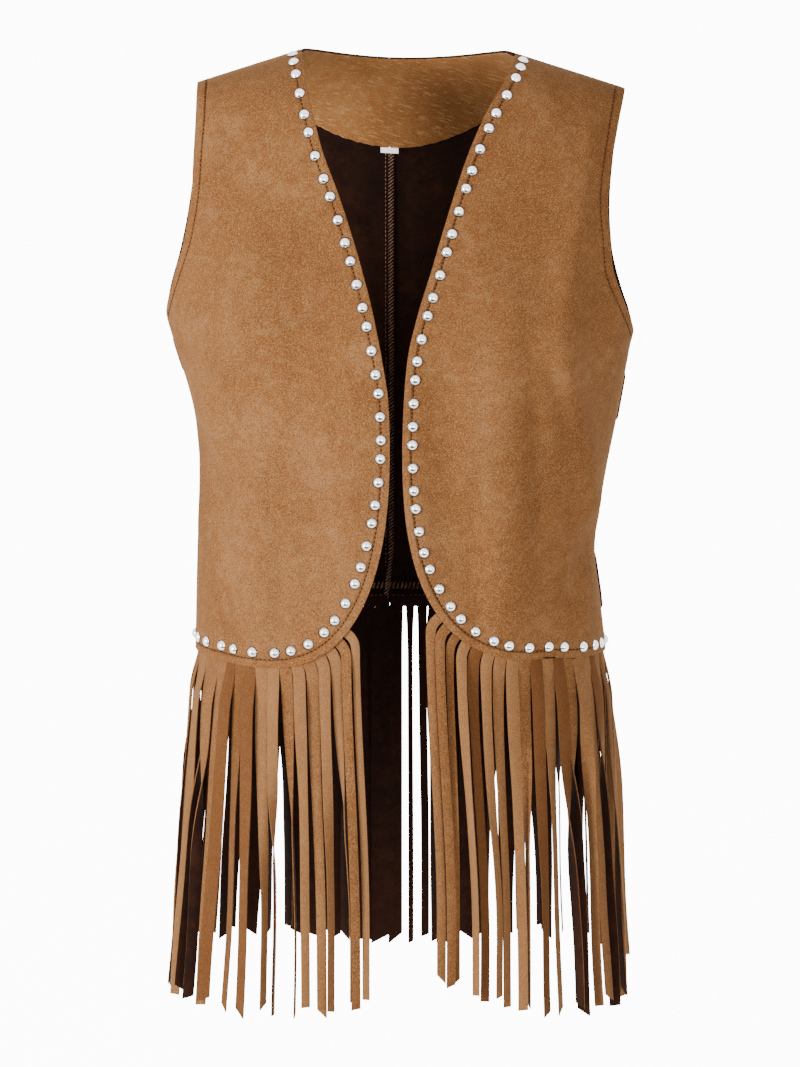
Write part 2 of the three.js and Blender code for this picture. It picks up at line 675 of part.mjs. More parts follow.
// Hanging line of one strand: it leaves the edge squarely, then turns to hang, in its own layer
function strandRings(root, index, face, side) {
  const [leftOut, rightOut, rightIn, leftIn] = root.ring;
  const start = new THREE.Vector3().add(leftOut).add(rightOut).add(rightIn).add(leftIn).multiplyScalar(0.25);
  const across = rightOut.clone().sub(leftOut).normalize();
  const out = root.normal.clone().setZ(0).normalize();
  const level = new THREE.Vector3(-out.y, out.x, 0);
  if (level.dot(across) < 0) level.negate();
  const sideShare = smoothstep((Math.abs(start.x) - SIDE_KICK.startX) / SIDE_KICK.width);
  const hang = new THREE.Vector3(SIGN[side] * SIDE_FLARE[side] * sideShare, 0, -1).normalize();
  const layer = LAYER_OFFSET * (index % 2 ? 1 : -1) - LAYER_OFFSET;
  const { short, shortTurn, long, longTurn, over } = STRAND_SWAY;
  const phase = face === 'front' ? 0 : 2;
  const sway = short * Math.sin(shortTurn * index + 0.6) + long * Math.sin(longTurn * index + phase);
  const turning = index % 5 === 3 ? STRAND_TWIST.few : STRAND_TWIST.most;
  const twist = turning * Math.sin(STRAND_TWIST.turn * index + 1) * root.free;
  const uneven = TIP_UNEVEN.height * Math.sin(TIP_UNEVEN.turn * index);
  const tipZ = lookup(FRINGE_TIPS, face, start.x, 'x') + uneven;
  const scale = (start.z - tipZ) / STRAND_STEPS[STRAND_STEPS.length - 1];
  const rings = [];
  const centre = start.clone();
  for (let k = 1; k < STRAND_STEPS.length; k += 1) {
    const middle = (STRAND_STEPS[k] + STRAND_STEPS[k - 1]) / 2;
    const length = (STRAND_STEPS[k] - STRAND_STEPS[k - 1]) * scale;
    const turned = smoothstep(middle / STRAND_BEND);
    const heading = root.heading.clone().lerp(hang, turned).normalize();
    centre.addScaledVector(heading, length);
    const hung = smoothstep(STRAND_STEPS[k] / STRAND_BEND);
    const low = smoothstep(STRAND_STEPS[k] / over);
    const tangent = root.heading.clone().lerp(hang, hung).normalize();
    const wide = across.clone().lerp(level, hung);
    wide.addScaledVector(tangent, -wide.dot(tangent)).normalize();
    wide.applyAxisAngle(tangent, twist * low);
    const thick = tangent.clone().cross(wide).normalize();
    if (thick.dot(out) < 0) thick.negate();
    const kick = SIDE_KICK.out * sideShare * smoothstep(STRAND_STEPS[k] / SIDE_KICK.over);
    const place = centre.clone().addScaledVector(out, layer * smoothstep(STRAND_STEPS[k] / LAYER_OVER) + kick);
    place.addScaledVector(level, sway * low * root.free);
    const slant = k === STRAND_STEPS.length - 1 ? TIP_SLANT * Math.sin(3.3 * index + TIP_TURN) : 0;
    const halves = [[-1, 1], [1, 1], [1, -1], [-1, -1]];
    rings.push(halves.map(([w, t]) => place.clone()
      .addScaledVector(wide, (w * root.width) / 2)
      .addScaledVector(thick, (t * STRAND_WALL) / 2)
      .addScaledVector(tangent, (slant * w * root.width) / 2)));
  }
  return rings;
}

// Narrow backing strip inside the hem with its strands hanging from its lower edge
function fringe(face, side, panel) {
  const walk = edgeWalk(face, side);
  const from = face === 'front'
    ? walk.stations.find(({ x, z }) => z < CORNER[side].topZ && SIGN[side] * x > SIGN[side] * FRINGE_START_X[side]).along
    : 0.6;
  const count = Math.round((walk.length - from) / STRAND_PITCH);
  const pitch = (walk.length - from) / count;
  const column = (along) => {
    const place = walk.at(along);
    const lift = -STRIP_SEAT;
    const row = [STRIP_INSET, STRIP_INSET + STRIP_HEIGHT].map((inset) => [lift, lift - STRAND_WALL]
      .map((height) => trimPoint(face, panel, 'inner', place, inset, height)));
    const { angle, z } = insetPlace(face, place, STRIP_INSET);
    return { lower: row[0], upper: row[1], normal: formNormal(face, angle, z) };
  };
  const columns = [];
  for (let i = 0; i < count; i += 1) {
    columns.push(column(from + i * pitch + STRAND_SLIT / 2));
    columns.push(column(from + (i + 1) * pitch - STRAND_SLIT / 2));
  }
  const points = [];
  const triangles = [];
  columns.forEach(({ lower, upper }) => points.push(lower[0], lower[1], upper[0], upper[1]));
  const [lowOut, lowIn, upOut, upIn] = [0, 1, 2, 3];
  const last = columns.length - 2;
  for (let c = last; c >= 0; c -= 1) {
    const [a, b] = [4 * c, 4 * (c + 1)];
    triangles.push(...quad(a + upOut, b + upOut, b + upIn, a + upIn));
    triangles.push(...quad(a + lowOut, b + lowOut, b + upOut, a + upOut));
    triangles.push(...quad(a + upIn, b + upIn, b + lowIn, a + lowIn));
    if (c % 2 === 1) triangles.push(...quad(a + lowIn, b + lowIn, b + lowOut, a + lowOut));
  }
  const end = 4 * (last + 1);
  triangles.push(...quad(end + lowIn, end + upIn, end + upOut, end + lowOut));
  triangles.push(...quad(lowOut, upOut, upIn, lowIn));
  for (let i = 0; i < count; i += 1) {
    const [left, right] = [columns[2 * i], columns[2 * i + 1]];
    const [a, b] = [8 * i, 8 * i + 4];
    const lower = left.lower[0].clone().add(right.lower[0]);
    const heading = lower.sub(left.upper[0]).sub(right.upper[0]).normalize();
    const ring = [left.lower[0], right.lower[0], right.lower[1], left.lower[1]];
    const free = Math.min(1, (i + 0.5) / QUIET_STRANDS, (count - i - 0.5) / QUIET_STRANDS);
    const root = { ring, heading, normal: left.normal, free, width: pitch - STRAND_SLIT };
    const rings = strandRings(root, i, face, side);
    let above = [a + lowOut, b + lowOut, b + lowIn, a + lowIn];
    for (const points4 of rings) {
      const below = points4.map((point) => points.push(point) - 1);
      for (let k = 0; k < 4; k += 1) {
        const next = (k + 1) % 4;
        triangles.push(...quad(above[next], above[k], below[k], below[next]));
      }
      above = below;
    }
    triangles.push(...quad(above[3], above[2], above[1], above[0]));
  }
  return closedGeometry(points, triangles);
}

function facingGeometry(backs) {
  const rowsOf = (side) => backs[side].slice(-5).map((row) => row.slice(0, FACING_COLUMNS + 1));
  const right = rowsOf('right');
  const left = rowsOf('left');
  const grid = (depth) => right.map((row, r) => {
    const vertex = ({ inner, normal }) => inner.clone().addScaledVector(normal, -depth);
    const middle = vertex(row[0]).lerp(vertex(left[r][0]), 0.5);
    return [...row.slice(1).reverse().map(vertex), middle, ...left[r].slice(1).map(vertex)];
  });
  return wallGeometry(grid(SEAM_GAP), grid(SEAM_GAP + FACING_WALL));
}

// Folded loop of ribbon with its closed fold down, hanging just below the facing
function labelMesh(backs) {
  const outline = new THREE.Shape();
  const depth = 2 * LABEL.leaf + LABEL.slit;
  const foldZ = -LABEL.drop + depth / 2;
  outline.moveTo(0, 0);
  outline.lineTo(0, foldZ);
  outline.absarc(depth / 2, foldZ, depth / 2, Math.PI, 2 * Math.PI, false);
  outline.lineTo(depth, 0);
  outline.lineTo(depth - LABEL.leaf, 0);
  outline.lineTo(depth - LABEL.leaf, foldZ);
  outline.absarc(depth / 2, foldZ, LABEL.slit / 2, 2 * Math.PI, Math.PI, true);
  outline.lineTo(LABEL.leaf, 0);
  const settings = { depth: LABEL.width, bevelEnabled: false, curveSegments: 6 };
  const geometry = new THREE.ExtrudeGeometry(outline, settings);
  const z = facingZ(CENTRE_BACK_X) - LABEL.below;
  const seats = ['right', 'left'].map((side) => {
    const x = CENTRE_BACK_X + (SIGN[side] * LABEL.width) / 2;
    return liftedPoint('back', backs[side], 'inner', angleAt('back', x, z), z, 0).y;
  });
  const mesh = new THREE.Mesh(geometry, LABEL_CLOTH);
  mesh.rotation.set(Math.PI / 2, -Math.PI / 2, 0);
  mesh.position.set(CENTRE_BACK_X + LABEL.width / 2, Math.min(...seats) - 0.6, z);
  return mesh;
}

const group = new THREE.Group();

function add(name, geometry, material) {
  const mesh = new THREE.Mesh(geometry, material);
  mesh.name = name;
  group.add(mesh);
}

const backs = {};
for (const side of ['right', 'left']) {
  const front = frontPanel(side);
  backs[side] = backPanel(side);
  add(`front_${side}`, panelGeometry(front), SUEDE);
  add(`back_${side}`, panelGeometry(backs[side]), SUEDE);
  add(`stud_row_${side}`, studRow(side, front), STUD_METAL);
  add(`fringe_front_${side}`, fringe('front', side, front), SUEDE_FRINGE);
  add(`fringe_back_${side}`, fringe('back', side, backs[side]), SUEDE_FRINGE);
}
add('neck_facing', facingGeometry(backs), SUEDE_FACING);
const label = labelMesh(backs);
label.name = 'neck_label';
group.add(label);

export default group;
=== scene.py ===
# %% [markdown]
# # A suede fringe vest, worn by nobody
#
# The real vest is sewn from two fronts, two back halves and a neck facing, all in a soft brushed
# suede cloth. Slit strands hang from its lower edge and domed metal studs follow the open front.
# Here it keeps the hollow shape that it has on a body. Every size is in millimetres until the
# last moment, in the frame that the solid model uses: +Z is up and -Y is the wearer's front.

# %% Load the solid model as a frame
import math
import random

import bmesh
import bpy
import numpy as np
from mathutils import Matrix, Vector


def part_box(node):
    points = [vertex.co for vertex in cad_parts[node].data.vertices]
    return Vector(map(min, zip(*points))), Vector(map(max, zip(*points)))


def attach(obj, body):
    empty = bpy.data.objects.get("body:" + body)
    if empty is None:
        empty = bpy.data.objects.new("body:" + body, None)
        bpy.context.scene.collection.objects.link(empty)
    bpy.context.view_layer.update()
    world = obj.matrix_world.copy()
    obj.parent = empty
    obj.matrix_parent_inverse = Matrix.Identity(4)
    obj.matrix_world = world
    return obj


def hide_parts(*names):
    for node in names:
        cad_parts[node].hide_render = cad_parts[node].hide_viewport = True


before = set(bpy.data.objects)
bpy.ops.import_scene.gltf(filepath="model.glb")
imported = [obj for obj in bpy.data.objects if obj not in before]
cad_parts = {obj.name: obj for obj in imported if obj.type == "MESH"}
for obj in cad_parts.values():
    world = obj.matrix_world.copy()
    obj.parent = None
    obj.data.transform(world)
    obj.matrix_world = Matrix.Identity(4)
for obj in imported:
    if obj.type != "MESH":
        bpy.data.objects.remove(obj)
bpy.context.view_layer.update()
print("nodes:", ", ".join(sorted(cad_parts)))

# %% [markdown]
# ## Camera
#
# The photograph was taken from a little above the middle of the vest and from far away, which
# keeps the body almost free of perspective. A long lens from 4.5 metres gives the same drawing.

# %% Camera
MM = 0.001
CAMERA_RISE = math.radians(10.5)
CAMERA_DISTANCE = 4.5
TARGET = Vector((0, 0, -0.368))

lens = bpy.data.cameras.new("camera")
lens.sensor_fit = "VERTICAL"
lens.sensor_height = 36
lens.lens = 199.8
lens.clip_end = 40
camera = bpy.data.objects.new("camera", lens)
bpy.context.collection.objects.link(camera)
camera.location = TARGET + CAMERA_DISTANCE * Vector((0, -math.cos(CAMERA_RISE), math.sin(CAMERA_RISE)))
camera.rotation_euler = (math.pi / 2 - CAMERA_RISE, 0, 0)
bpy.context.scene.camera = camera
print("camera at", tuple(round(v, 3) for v in camera.location))

# %% [markdown]
# ## Light, floor and backdrop
#
# A wide soft light on the viewer's left models the folds, and a weak one on the right opens the
# shadows. The floor is a long sheet of white paper that curves up far behind, glowing so strongly
# that the camera sees plain white, but the glow stays off the vest. The studs mirror a white
# room and one dark card on the floor in front, which nothing else sees.

# %% Light, floor and backdrop
FLOOR_Z = -0.775
SWEEP_HALF_SIZE = 13
SWEEP_START_Y, SWEEP_RADIUS = 9.5, 0.7
PAPER_GLOW, PAPER_GLOW_IN_METAL = 12.0, 0.18
ROOM_DIM, ROOM_BRIGHT = 0.24, 2.4


def placed(name, source):
    mesh = bpy.data.meshes.new(name)
    source.to_mesh(mesh)
    source.free()
    piece = bpy.data.objects.new(name, mesh)
    bpy.context.collection.objects.link(piece)
    return piece


def soft_light(name, place, aim, width, height, power):
    data = bpy.data.lights.new(name, "AREA")
    data.shape = "RECTANGLE"
    data.size = width
    data.size_y = height
    data.energy = power
    light = bpy.data.objects.new(name, data)
    bpy.context.collection.objects.link(light)
    light.location = place
    light.rotation_euler = (Vector(aim) - Vector(place)).to_track_quat("-Z", "Y").to_euler()
    return light


soft_light("key_light", (-2.7, -2.0, 0.05), (0, 0, -0.35), 1.3, 1.6, 104)
soft_light("fill_light", (1.1, -3.3, -0.3), (0, 0, -0.35), 1.4, 0.9, 44)
soft_light("top_light", (-0.5, -0.5, 2.1), (0, 0, -0.3), 1.8, 1.4, 6)

world = bpy.data.worlds.new("studio")
world.use_nodes = True
room = world.node_tree
seen_by = room.nodes.new("ShaderNodeLightPath")
room_tone = room.nodes.new("ShaderNodeMix")
room_tone.data_type = "RGBA"
room_tone.inputs["A"].default_value = (ROOM_DIM, ROOM_DIM, ROOM_DIM, 1)
room_tone.inputs["B"].default_value = (ROOM_BRIGHT, ROOM_BRIGHT, ROOM_BRIGHT, 1)
seen_bright = room.nodes.new("ShaderNodeMath")
seen_bright.operation = "ADD"
room.links.new(seen_by.outputs["Is Glossy Ray"], seen_bright.inputs[0])
room.links.new(seen_by.outputs["Is Camera Ray"], seen_bright.inputs[1])
room.links.new(seen_bright.outputs["Value"], room_tone.inputs["Factor"])
room.links.new(room_tone.outputs["Result"], room.nodes["Background"].inputs["Color"])
bpy.context.scene.world = world


def sweep_height(y):
    past = y - SWEEP_START_Y
    if past < 0:
        return 0.0, y
    turn = min(math.pi / 2, past / SWEEP_RADIUS)
    wall = max(0.0, past - SWEEP_RADIUS * math.pi / 2)
    return SWEEP_RADIUS * (1 - math.cos(turn)) + wall, SWEEP_START_Y + SWEEP_RADIUS * math.sin(turn)


sweep = bmesh.new()
bmesh.ops.create_grid(sweep, x_segments=2, y_segments=160, size=SWEEP_HALF_SIZE)
for vert in sweep.verts:
    rise, forward = sweep_height(vert.co.y)
    vert.co = Vector((vert.co.x, forward, FLOOR_Z + rise))
for polygon in sweep.faces:
    polygon.smooth = True
studio_sweep = placed("studio_sweep", sweep)
paper = bpy.data.materials.new("studio_paper")
paper.use_nodes = True
paper_shader = paper.node_tree.nodes["Principled BSDF"]
paper_shader.inputs["Base Color"].default_value = (0.93, 0.93, 0.93, 1)
paper_shader.inputs["Roughness"].default_value = 0.9
paper_path = paper.node_tree.nodes.new("ShaderNodeLightPath")
mirrored = paper.node_tree.nodes.new("ShaderNodeMath")
mirrored.operation = "MULTIPLY_ADD"
mirrored.inputs[1].default_value = PAPER_GLOW_IN_METAL
paper.node_tree.links.new(paper_path.outputs["Is Glossy Ray"], mirrored.inputs[0])
paper.node_tree.links.new(paper_path.outputs["Is Camera Ray"], mirrored.inputs[2])
paper.node_tree.links.new(mirrored.outputs["Value"], paper_shader.inputs["Emission Color"])
paper_shader.inputs["Emission Strength"].default_value = PAPER_GLOW
studio_sweep.data.materials.append(paper)

card = bmesh.new()
bmesh.ops.create_grid(card, x_segments=1, y_segments=1, size=1)
for vert in card.verts:
    vert.co = Vector((vert.co.x * 0.85, vert.co.y * 1.1 - 1.5, FLOOR_Z + 0.002))
dark_card = placed("dark_card", card)
dark_card.visible_camera = dark_card.visible_diffuse = dark_card.visible_shadow = False
card_black = bpy.data.materials.new("card_black")
card_black.use_nodes = True
card_black.node_tree.nodes["Principled BSDF"].inputs["Base Color"].default_value = (0.01, 0.01, 0.01, 1)
dark_card.data.materials.append(card_black)
print("floor at", FLOOR_Z)

# %% [markdown]
# ## The body form
#
# A garment pattern is drafted from a few girths and heights, and this form is the same idea: a
# half width and a front and back depth at each height, joined round each section by a rounded
# square. Above the chest the form rolls over to the shoulder seams. One set of functions gives
# the place of any point of the cloth, so what is sewn on later can ask where the cloth is.

# %% Sizes of the form
WALL = 1.5
SEAM_GAP = 0.3
CENTRE_BACK_X = -8.0
SHOULDER_Y = 5.0
SHOULDER_SLOPE = 0.315
LEFT_DROP = {"depth": 3.5, "start_x": 20, "width": 50}
NECK_MIDDLE_X = 7.0
NECK_HALF_WIDTH = 81.0
BACK_NECK_DROP = 11.5
ROLL_START_Z = -96.0
ROLL_EXPONENT = 2.3
EXPONENT = {"front": 2.3, "back": 2.5}
SIGN = {"right": -1, "left": 1}

HALF_WIDTH = (
    ("z", "right", "left"),
    (-457, 156, 157), (-414, 155, 152), (-379, 154, 148), (-351, 152.5, 150.5),
    (-320, 151.5, 155.5), (-280, 152.5, 163.5), (-251, 160, 168.6), (-235, 165.4, 171.5),
    (-221, 169.8, 174), (-211, 172.9, 176.4), (-197, 176.4, 178.2), (-178, 177.6, 178.8),
    (-150, 176.5, 178.2), (-96, 172, 176),
)
DEPTH = (
    ("z", "front", "back"),
    (-457, 100, 101), (-362, 107, 99), (-312, 113, 98), (-262, 120, 101),
    (-217, 124, 105), (-170, 112.5, 107), (-135, 98.5, 106), (-96, 84, 101),
    (-60, 74, 93), (-20, 66, 84), (10, 62, 78),
)
FRONT_EDGE = (
    ("z", "right", "left"),
    (-281, -7.4, 1.7), (-250, -8.5, 2.8), (-215, -13.4, 5.7), (-181.5, -20.1, 13.5),
    (-153, -27.6, 22.8), (-124, -36.5, 31.8), (-95, -46.5, 41.2), (-66, -57.8, 51.8),
    (-41, -64.5, 63.5), (-20, -69.5, 76.8), (0, -74, 88),
)
CORNER = {
    "right": {"top_z": -277, "width": 98, "height": 178, "exponent": 2.5, "side_hem_z": -454},
    "left": {"top_z": -281, "width": 112, "height": 168, "exponent": 2.65, "side_hem_z": -455},
}
BACK_HEM_Z = -444.0
ARMHOLE = {
    "right": (
        ("z", "front", "back"),
        (-197, 176.4, 176.4), (-184, 174, 175), (-160, 167.5, 169.5), (-134, 160.4, 165),
        (-97, 155, 160), (-75, 154, 157.5), (-46, 152.5, 154.5), (-24, 152, 152),
    ),
    "left": (
        ("z", "front", "back"),
        (-211, 176.4, 176.4), (-200, 173.8, 174), (-188, 169.5, 169.5), (-152, 158.9, 160),
        (-110, 154.8, 156), (-91, 156.3, 156.8), (-55, 162.5, 161.5), (-29.5, 168.6, 168.6),
    ),
}
UNDERARM_Z = {"right": -197.0, "left": -211.0}
SHOULDER_TIP_X = {"right": 152.0, "left": 168.6}
print("form from hem", BACK_HEM_Z, "to shoulder 0 mm")

# %% [markdown]
# A table gives its sizes at a few heights. Straight lines between them would show as creases in
# cloth, so the lookup draws a smooth curve through the rows, which never swings past them.


# %% Smooth lookup in a table
def lookup(table, key, value, along="z"):
    names = table[0]
    rows = sorted(table[1:], key=lambda row: row[names.index(along)])
    x = np.array([row[names.index(along)] for row in rows], float)
    y = np.array([row[names.index(key)] for row in rows], float)
    slope = np.diff(y) / np.diff(x)
    before, after = slope[:-1], slope[1:]
    total = np.where(before + after == 0, 1.0, before + after)
    inner = np.where(before * after > 0, 2 * before * after / total, 0.0)
    tangent = np.concatenate(([slope[0]], inner, [slope[-1]]))
    v = np.clip(np.asarray(value, float), x[0], x[-1])
    i = np.clip(np.searchsorted(x, v) - 1, 0, len(x) - 2)
    length = x[i + 1] - x[i]
    t = (v - x[i]) / length
    start = y[i] * (1 + 2 * t) * (1 - t) ** 2 + length * t * (1 - t) ** 2 * tangent[i]
    return start + y[i + 1] * t * t * (3 - 2 * t) - length * t * t * (1 - t) * tangent[i + 1]


def smoothstep(t):
    s = np.clip(t, 0, 1)
    return s * s * (3 - 2 * s)


print("half width at the chest:", round(float(lookup(HALF_WIDTH, "left", -178)), 1))

# %% [markdown]
# Each section is a superellipse: angle 0 is the middle of the front or back and 90 degrees the
# side seam. The roll brings the section's depth down to the shoulder seam along another one.


# %% The form as functions
def shoulder_z(x):
    t = np.abs(x - NECK_MIDDLE_X) / NECK_HALF_WIDTH
    rise = SHOULDER_SLOPE * NECK_HALF_WIDTH
    lower = LEFT_DROP["depth"] * smoothstep((x - LEFT_DROP["start_x"]) / LEFT_DROP["width"])
    return np.where(t < 1, rise / 2 * (1 - t * t), -rise * (t - 1)) - lower


def half_width(x, z):
    low = np.minimum(z, ROLL_START_Z)
    return np.where(np.asarray(x) < 0, lookup(HALF_WIDTH, "right", low), lookup(HALF_WIDTH, "left", low))


def angle_at(face, x, z):
    ratio = np.minimum(1, np.abs(x) / half_width(x, z))
    return np.sign(x) * np.arcsin(ratio ** (EXPONENT[face] / 2))


def x_at(face, angle, z):
    return np.sign(angle) * half_width(angle, z) * np.abs(np.sin(angle)) ** (2 / EXPONENT[face])


def roll_height(x, z):
    return np.clip((z - ROLL_START_Z) / (shoulder_z(x) - ROLL_START_Z), 0, 1)


def roll_at(x, z):
    return (1 - roll_height(x, z) ** ROLL_EXPONENT) ** (1 / ROLL_EXPONENT)


def roll_z(x, roll):
    return ROLL_START_Z + (shoulder_z(x) - ROLL_START_Z) * np.sin(roll) ** (2 / ROLL_EXPONENT)


def roll_angle(x, z):
    return np.arcsin(roll_height(x, z) ** (ROLL_EXPONENT / 2))


def plain_form(face, angle, z):
    x = x_at(face, angle, z)
    cosine = np.cos(angle)
    depth = lookup(DEPTH, face, z)
    flat = depth * np.sign(cosine) * np.abs(cosine) ** (2 / EXPONENT[face])
    roll = roll_at(x, z)
    y = SHOULDER_Y * (1 - roll) + (flat if face == "back" else -flat) * roll
    return np.stack([x, y, z + 0 * x], axis=-1)


def form_normal(face, angle, z):
    low = np.minimum(z, shoulder_z(x_at(face, angle, z)) - 0.4)
    around = plain_form(face, angle + 0.004, low) - plain_form(face, angle - 0.004, low)
    x = x_at(face, angle, low)
    up = plain_form(face, angle_at(face, x, low + 0.3), low + 0.3)
    down = plain_form(face, angle_at(face, x, low - 0.3), low - 0.3)
    normal = np.cross(around, up - down)
    normal = normal / np.linalg.norm(normal, axis=-1, keepdims=True)
    facing = -np.cos(angle) if face == "front" else np.cos(angle)
    outward = np.stack([np.sin(angle), facing, 1 - roll_at(x, low)], axis=-1)
    return normal * np.where(np.sum(normal * outward, axis=-1) < 0, -1, 1)[..., None]


print("front at the bust:", plain_form("front", np.array(0.3), np.array(-217.0)).round(1))

# %% [markdown]
# ## Folds
#
# Suede cloth is soft but thick, so it breaks into a few long soft folds where it hangs from the
# bust and shoulder blades, and into short slanting ones at the armholes. Each fold is a ridge or
# a trough along a line, with its own height and width. The wide ones are also in the solids,
# and the narrow ones are only here. The hidden back has folds of the same kind.

# %% Folds
WIDE_FOLDS = {
    "front": (
        (-110, -165, -136, -262, 5, 21), (-133, -250, -146, -352, 4, 13),
        (-72, -195, -66, -395, -4, 24), (-107, -300, -110, -440, 3, 20),
        (-118, -60, -104, -140, -3, 18), (32, -240, 40, -372, -4.5, 17),
        (78, -195, 82, -410, 3.5, 19), (128, -140, 118, -222, 4.5, 16),
        (148, -165, 150, -268, -4, 13), (118, -215, 143, -335, 4, 13),
        (103, -35, 121, -95, 2.5, 13),
    ),
    "back": (
        (-64, -150, -76, -420, -4, 22), (-112, -190, -122, -400, 3.5, 18),
        (-30, -240, -34, -425, 2.5, 15), (40, -210, 34, -430, 3, 17),
        (82, -140, 76, -400, -4, 21), (126, -175, 118, -380, 3.5, 17),
    ),
}
NARROW_FOLDS = {
    "front": (
        (-150, -228, -128, -250, -2.4, 6), (-152, -246, -132, -276, 2.0, 6),
        (-142, -306, -131, -330, -1.8, 6), (-92, -330, -88, -425, -2.1, 8),
        (-40, -300, -34, -352, 1.8, 9), (-128, -372, -132, -440, -2.0, 7),
        (-62, -40, -52, -95, 1.4, 8), (-135, -70, -140, -120, 2.1, 7),
        (56, -330, 60, -430, -2.2, 8), (100, -260, 104, -380, -2.4, 8),
        (112, -228, 132, -300, -3.3, 6), (134, -300, 150, -352, 2.7, 6),
        (150, -340, 128, -402, -2.4, 6), (104, -45, 118, -88, -2.0, 7),
        (140, -60, 132, -120, 2.0, 8), (142, -405, 138, -448, 1.8, 7),
    ),
    "back": (
        (-140, -215, -118, -262, -1.6, 7), (-96, -330, -92, -432, 1.3, 8),
        (-48, -120, -54, -196, 1.1, 10), (-10, -330, -14, -436, 1.0, 8),
        (20, -250, 16, -330, -1.2, 9), (58, -300, 62, -425, -1.4, 8),
        (104, -100, 112, -168, -1.3, 9), (142, -230, 120, -285, -1.8, 7),
        (132, -330, 136, -430, 1.4, 8), (70, -60, 88, -110, 1.0, 9),
        (3, -120, 4, -400, 2.6, 6),
    ),
}


def fold_height(face, angle, x, z):
    fade = smoothstep((math.pi / 2 - np.abs(angle)) / 0.3) * roll_at(x, z)
    total = 0.0
    for x1, z1, x2, z2, rise, width in WIDE_FOLDS[face] + NARROW_FOLDS[face]:
        dx, dz = x2 - x1, z2 - z1
        length = math.hypot(dx, dz)
        along = ((x - x1) * dx + (z - z1) * dz) / length
        across = ((x - x1) * dz - (z - z1) * dx) / length
        over = np.maximum(0, np.maximum(-along, along - length)) / (1.6 * width)
        total = total + rise * np.exp(-((across / width) ** 2) - over * over)
    return total * fade


def cloth(face, angle, z, lift=0.0):
    point = plain_form(face, angle, z)
    rise = fold_height(face, angle, point[..., 0], z) + lift
    return point + form_normal(face, angle, z) * np.asarray(rise)[..., None]


def cloth_normal(face, angle, z):
    around = cloth(face, angle + 0.006, z) - cloth(face, angle - 0.006, z)
    up = cloth(face, angle, z + 0.8) - cloth(face, angle, z - 0.8)
    normal = np.cross(around, up)
    normal = normal / np.linalg.norm(normal, axis=-1, keepdims=True)
    plain = form_normal(face, angle, z)
    return normal * np.where(np.sum(normal * plain, axis=-1) < 0, -1, 1)[..., None]


print("folds:", {face: len(WIDE_FOLDS[face]) + len(NARROW_FOLDS[face]) for face in WIDE_FOLDS})

# %% [markdown]
# ## Rows of a front
#
# A front is drawn as rows that run from its open edge to its side seam or armhole. In the
# rounded lower corner the rows start on the corner's curve and lean with it, so the edge stays
# smooth without any trimming.

# %% Rows of a front
COLUMNS = 60


def corner_point(side, turn):
    corner = CORNER[side]
    edge_x = lookup(FRONT_EDGE, side, corner["top_z"])
    power = 2 / corner["exponent"]
    x = edge_x + SIGN[side] * corner["width"] * (1 - np.abs(np.cos(turn)) ** power)
    return float(x), float(corner["top_z"] - corner["height"] * np.sin(turn) ** power)


def hem_z(face, side, x):
    width = half_width(SIGN[side], CORNER[side]["side_hem_z"])
    low = CORNER[side]["side_hem_z"]
    if face == "back":
        return BACK_HEM_Z + (low - BACK_HEM_Z) * (x / width) ** 2
    start_x, start_z = corner_point(side, math.pi / 2)
    return start_z + (low - start_z) * np.clip((x - start_x) / (SIGN[side] * width - start_x), 0, 1)


def meet_edge(edge_x, row_z):
    z = row_z(edge_x(ROLL_START_Z))
    for _ in range(30):
        z = (z + row_z(edge_x(z))) / 2
    return float(edge_x(z)), float(z)


def front_rows(side):
    corner = CORNER[side]
    top, underarm = corner["top_z"], UNDERARM_Z[side]
    rows = []
    for turn in np.linspace(math.pi / 2, 0, 34):
        x, z = corner_point(side, turn)
        share = (top - z) / corner["height"]
        rows.append((x, z, lambda x, share=share: top + (hem_z("front", side, x) - top) * share))
    levels = np.concatenate((np.linspace(top, underarm, 17)[1:], np.linspace(underarm, ROLL_START_Z, 26)[1:]))
    for z in levels:
        rows.append((float(lookup(FRONT_EDGE, side, z)), float(z), lambda x, z=z: z + 0 * x))
    for share in np.linspace(0, 1, 22)[1:]:
        height = lambda x, share=share: roll_z(x, share * math.pi / 2)
        rows.append((*meet_edge(lambda z: lookup(FRONT_EDGE, side, z), height), height))
    return rows


def front_grid(side):
    angles, heights, on_armhole = [], [], []
    armhole = lambda z: SIGN[side] * lookup(ARMHOLE[side], "front", z)
    for start_x, start_z, height in front_rows(side):
        above = start_z > UNDERARM_Z[side] + 0.01
        first = float(angle_at("front", start_x, start_z))
        last = SIGN[side] * math.pi / 2
        if above:
            last = float(angle_at("front", *meet_edge(armhole, height)))
        angle = np.linspace(first, last, COLUMNS + 1)
        z = height(x_at("front", angle, start_z))
        z[0] = start_z
        angles.append(angle)
        heights.append(z)
        on_armhole.append(above)
    return np.array(angles), np.array(heights), np.array(on_armhole)


front_grids = {side: front_grid(side) for side in SIGN}
print("front grid:", front_grids["right"][0].shape)

# %% [markdown]
# ## Rows of a back half
#
# The back has a straight centre seam. Low rows are level, and higher ones bend until the last
# one follows the neck and then the shoulder. The facing's lower edge is one of the rows, so the
# facing can later be laid on the same points.

# %% Rows of a back half
NECK_COLUMNS = 28
LOW_ROWS, MIDDLE_ROWS, FACING_ROWS = 48, 26, 24


def facing_z(x):
    return np.minimum(-45.0, -84.0 + 17.6 * ((x - CENTRE_BACK_X / 4) / 60) ** 2)


def back_neck_z(x):
    return -BACK_NECK_DROP * (1 - ((x - NECK_MIDDLE_X) / NECK_HALF_WIDTH) ** 2)


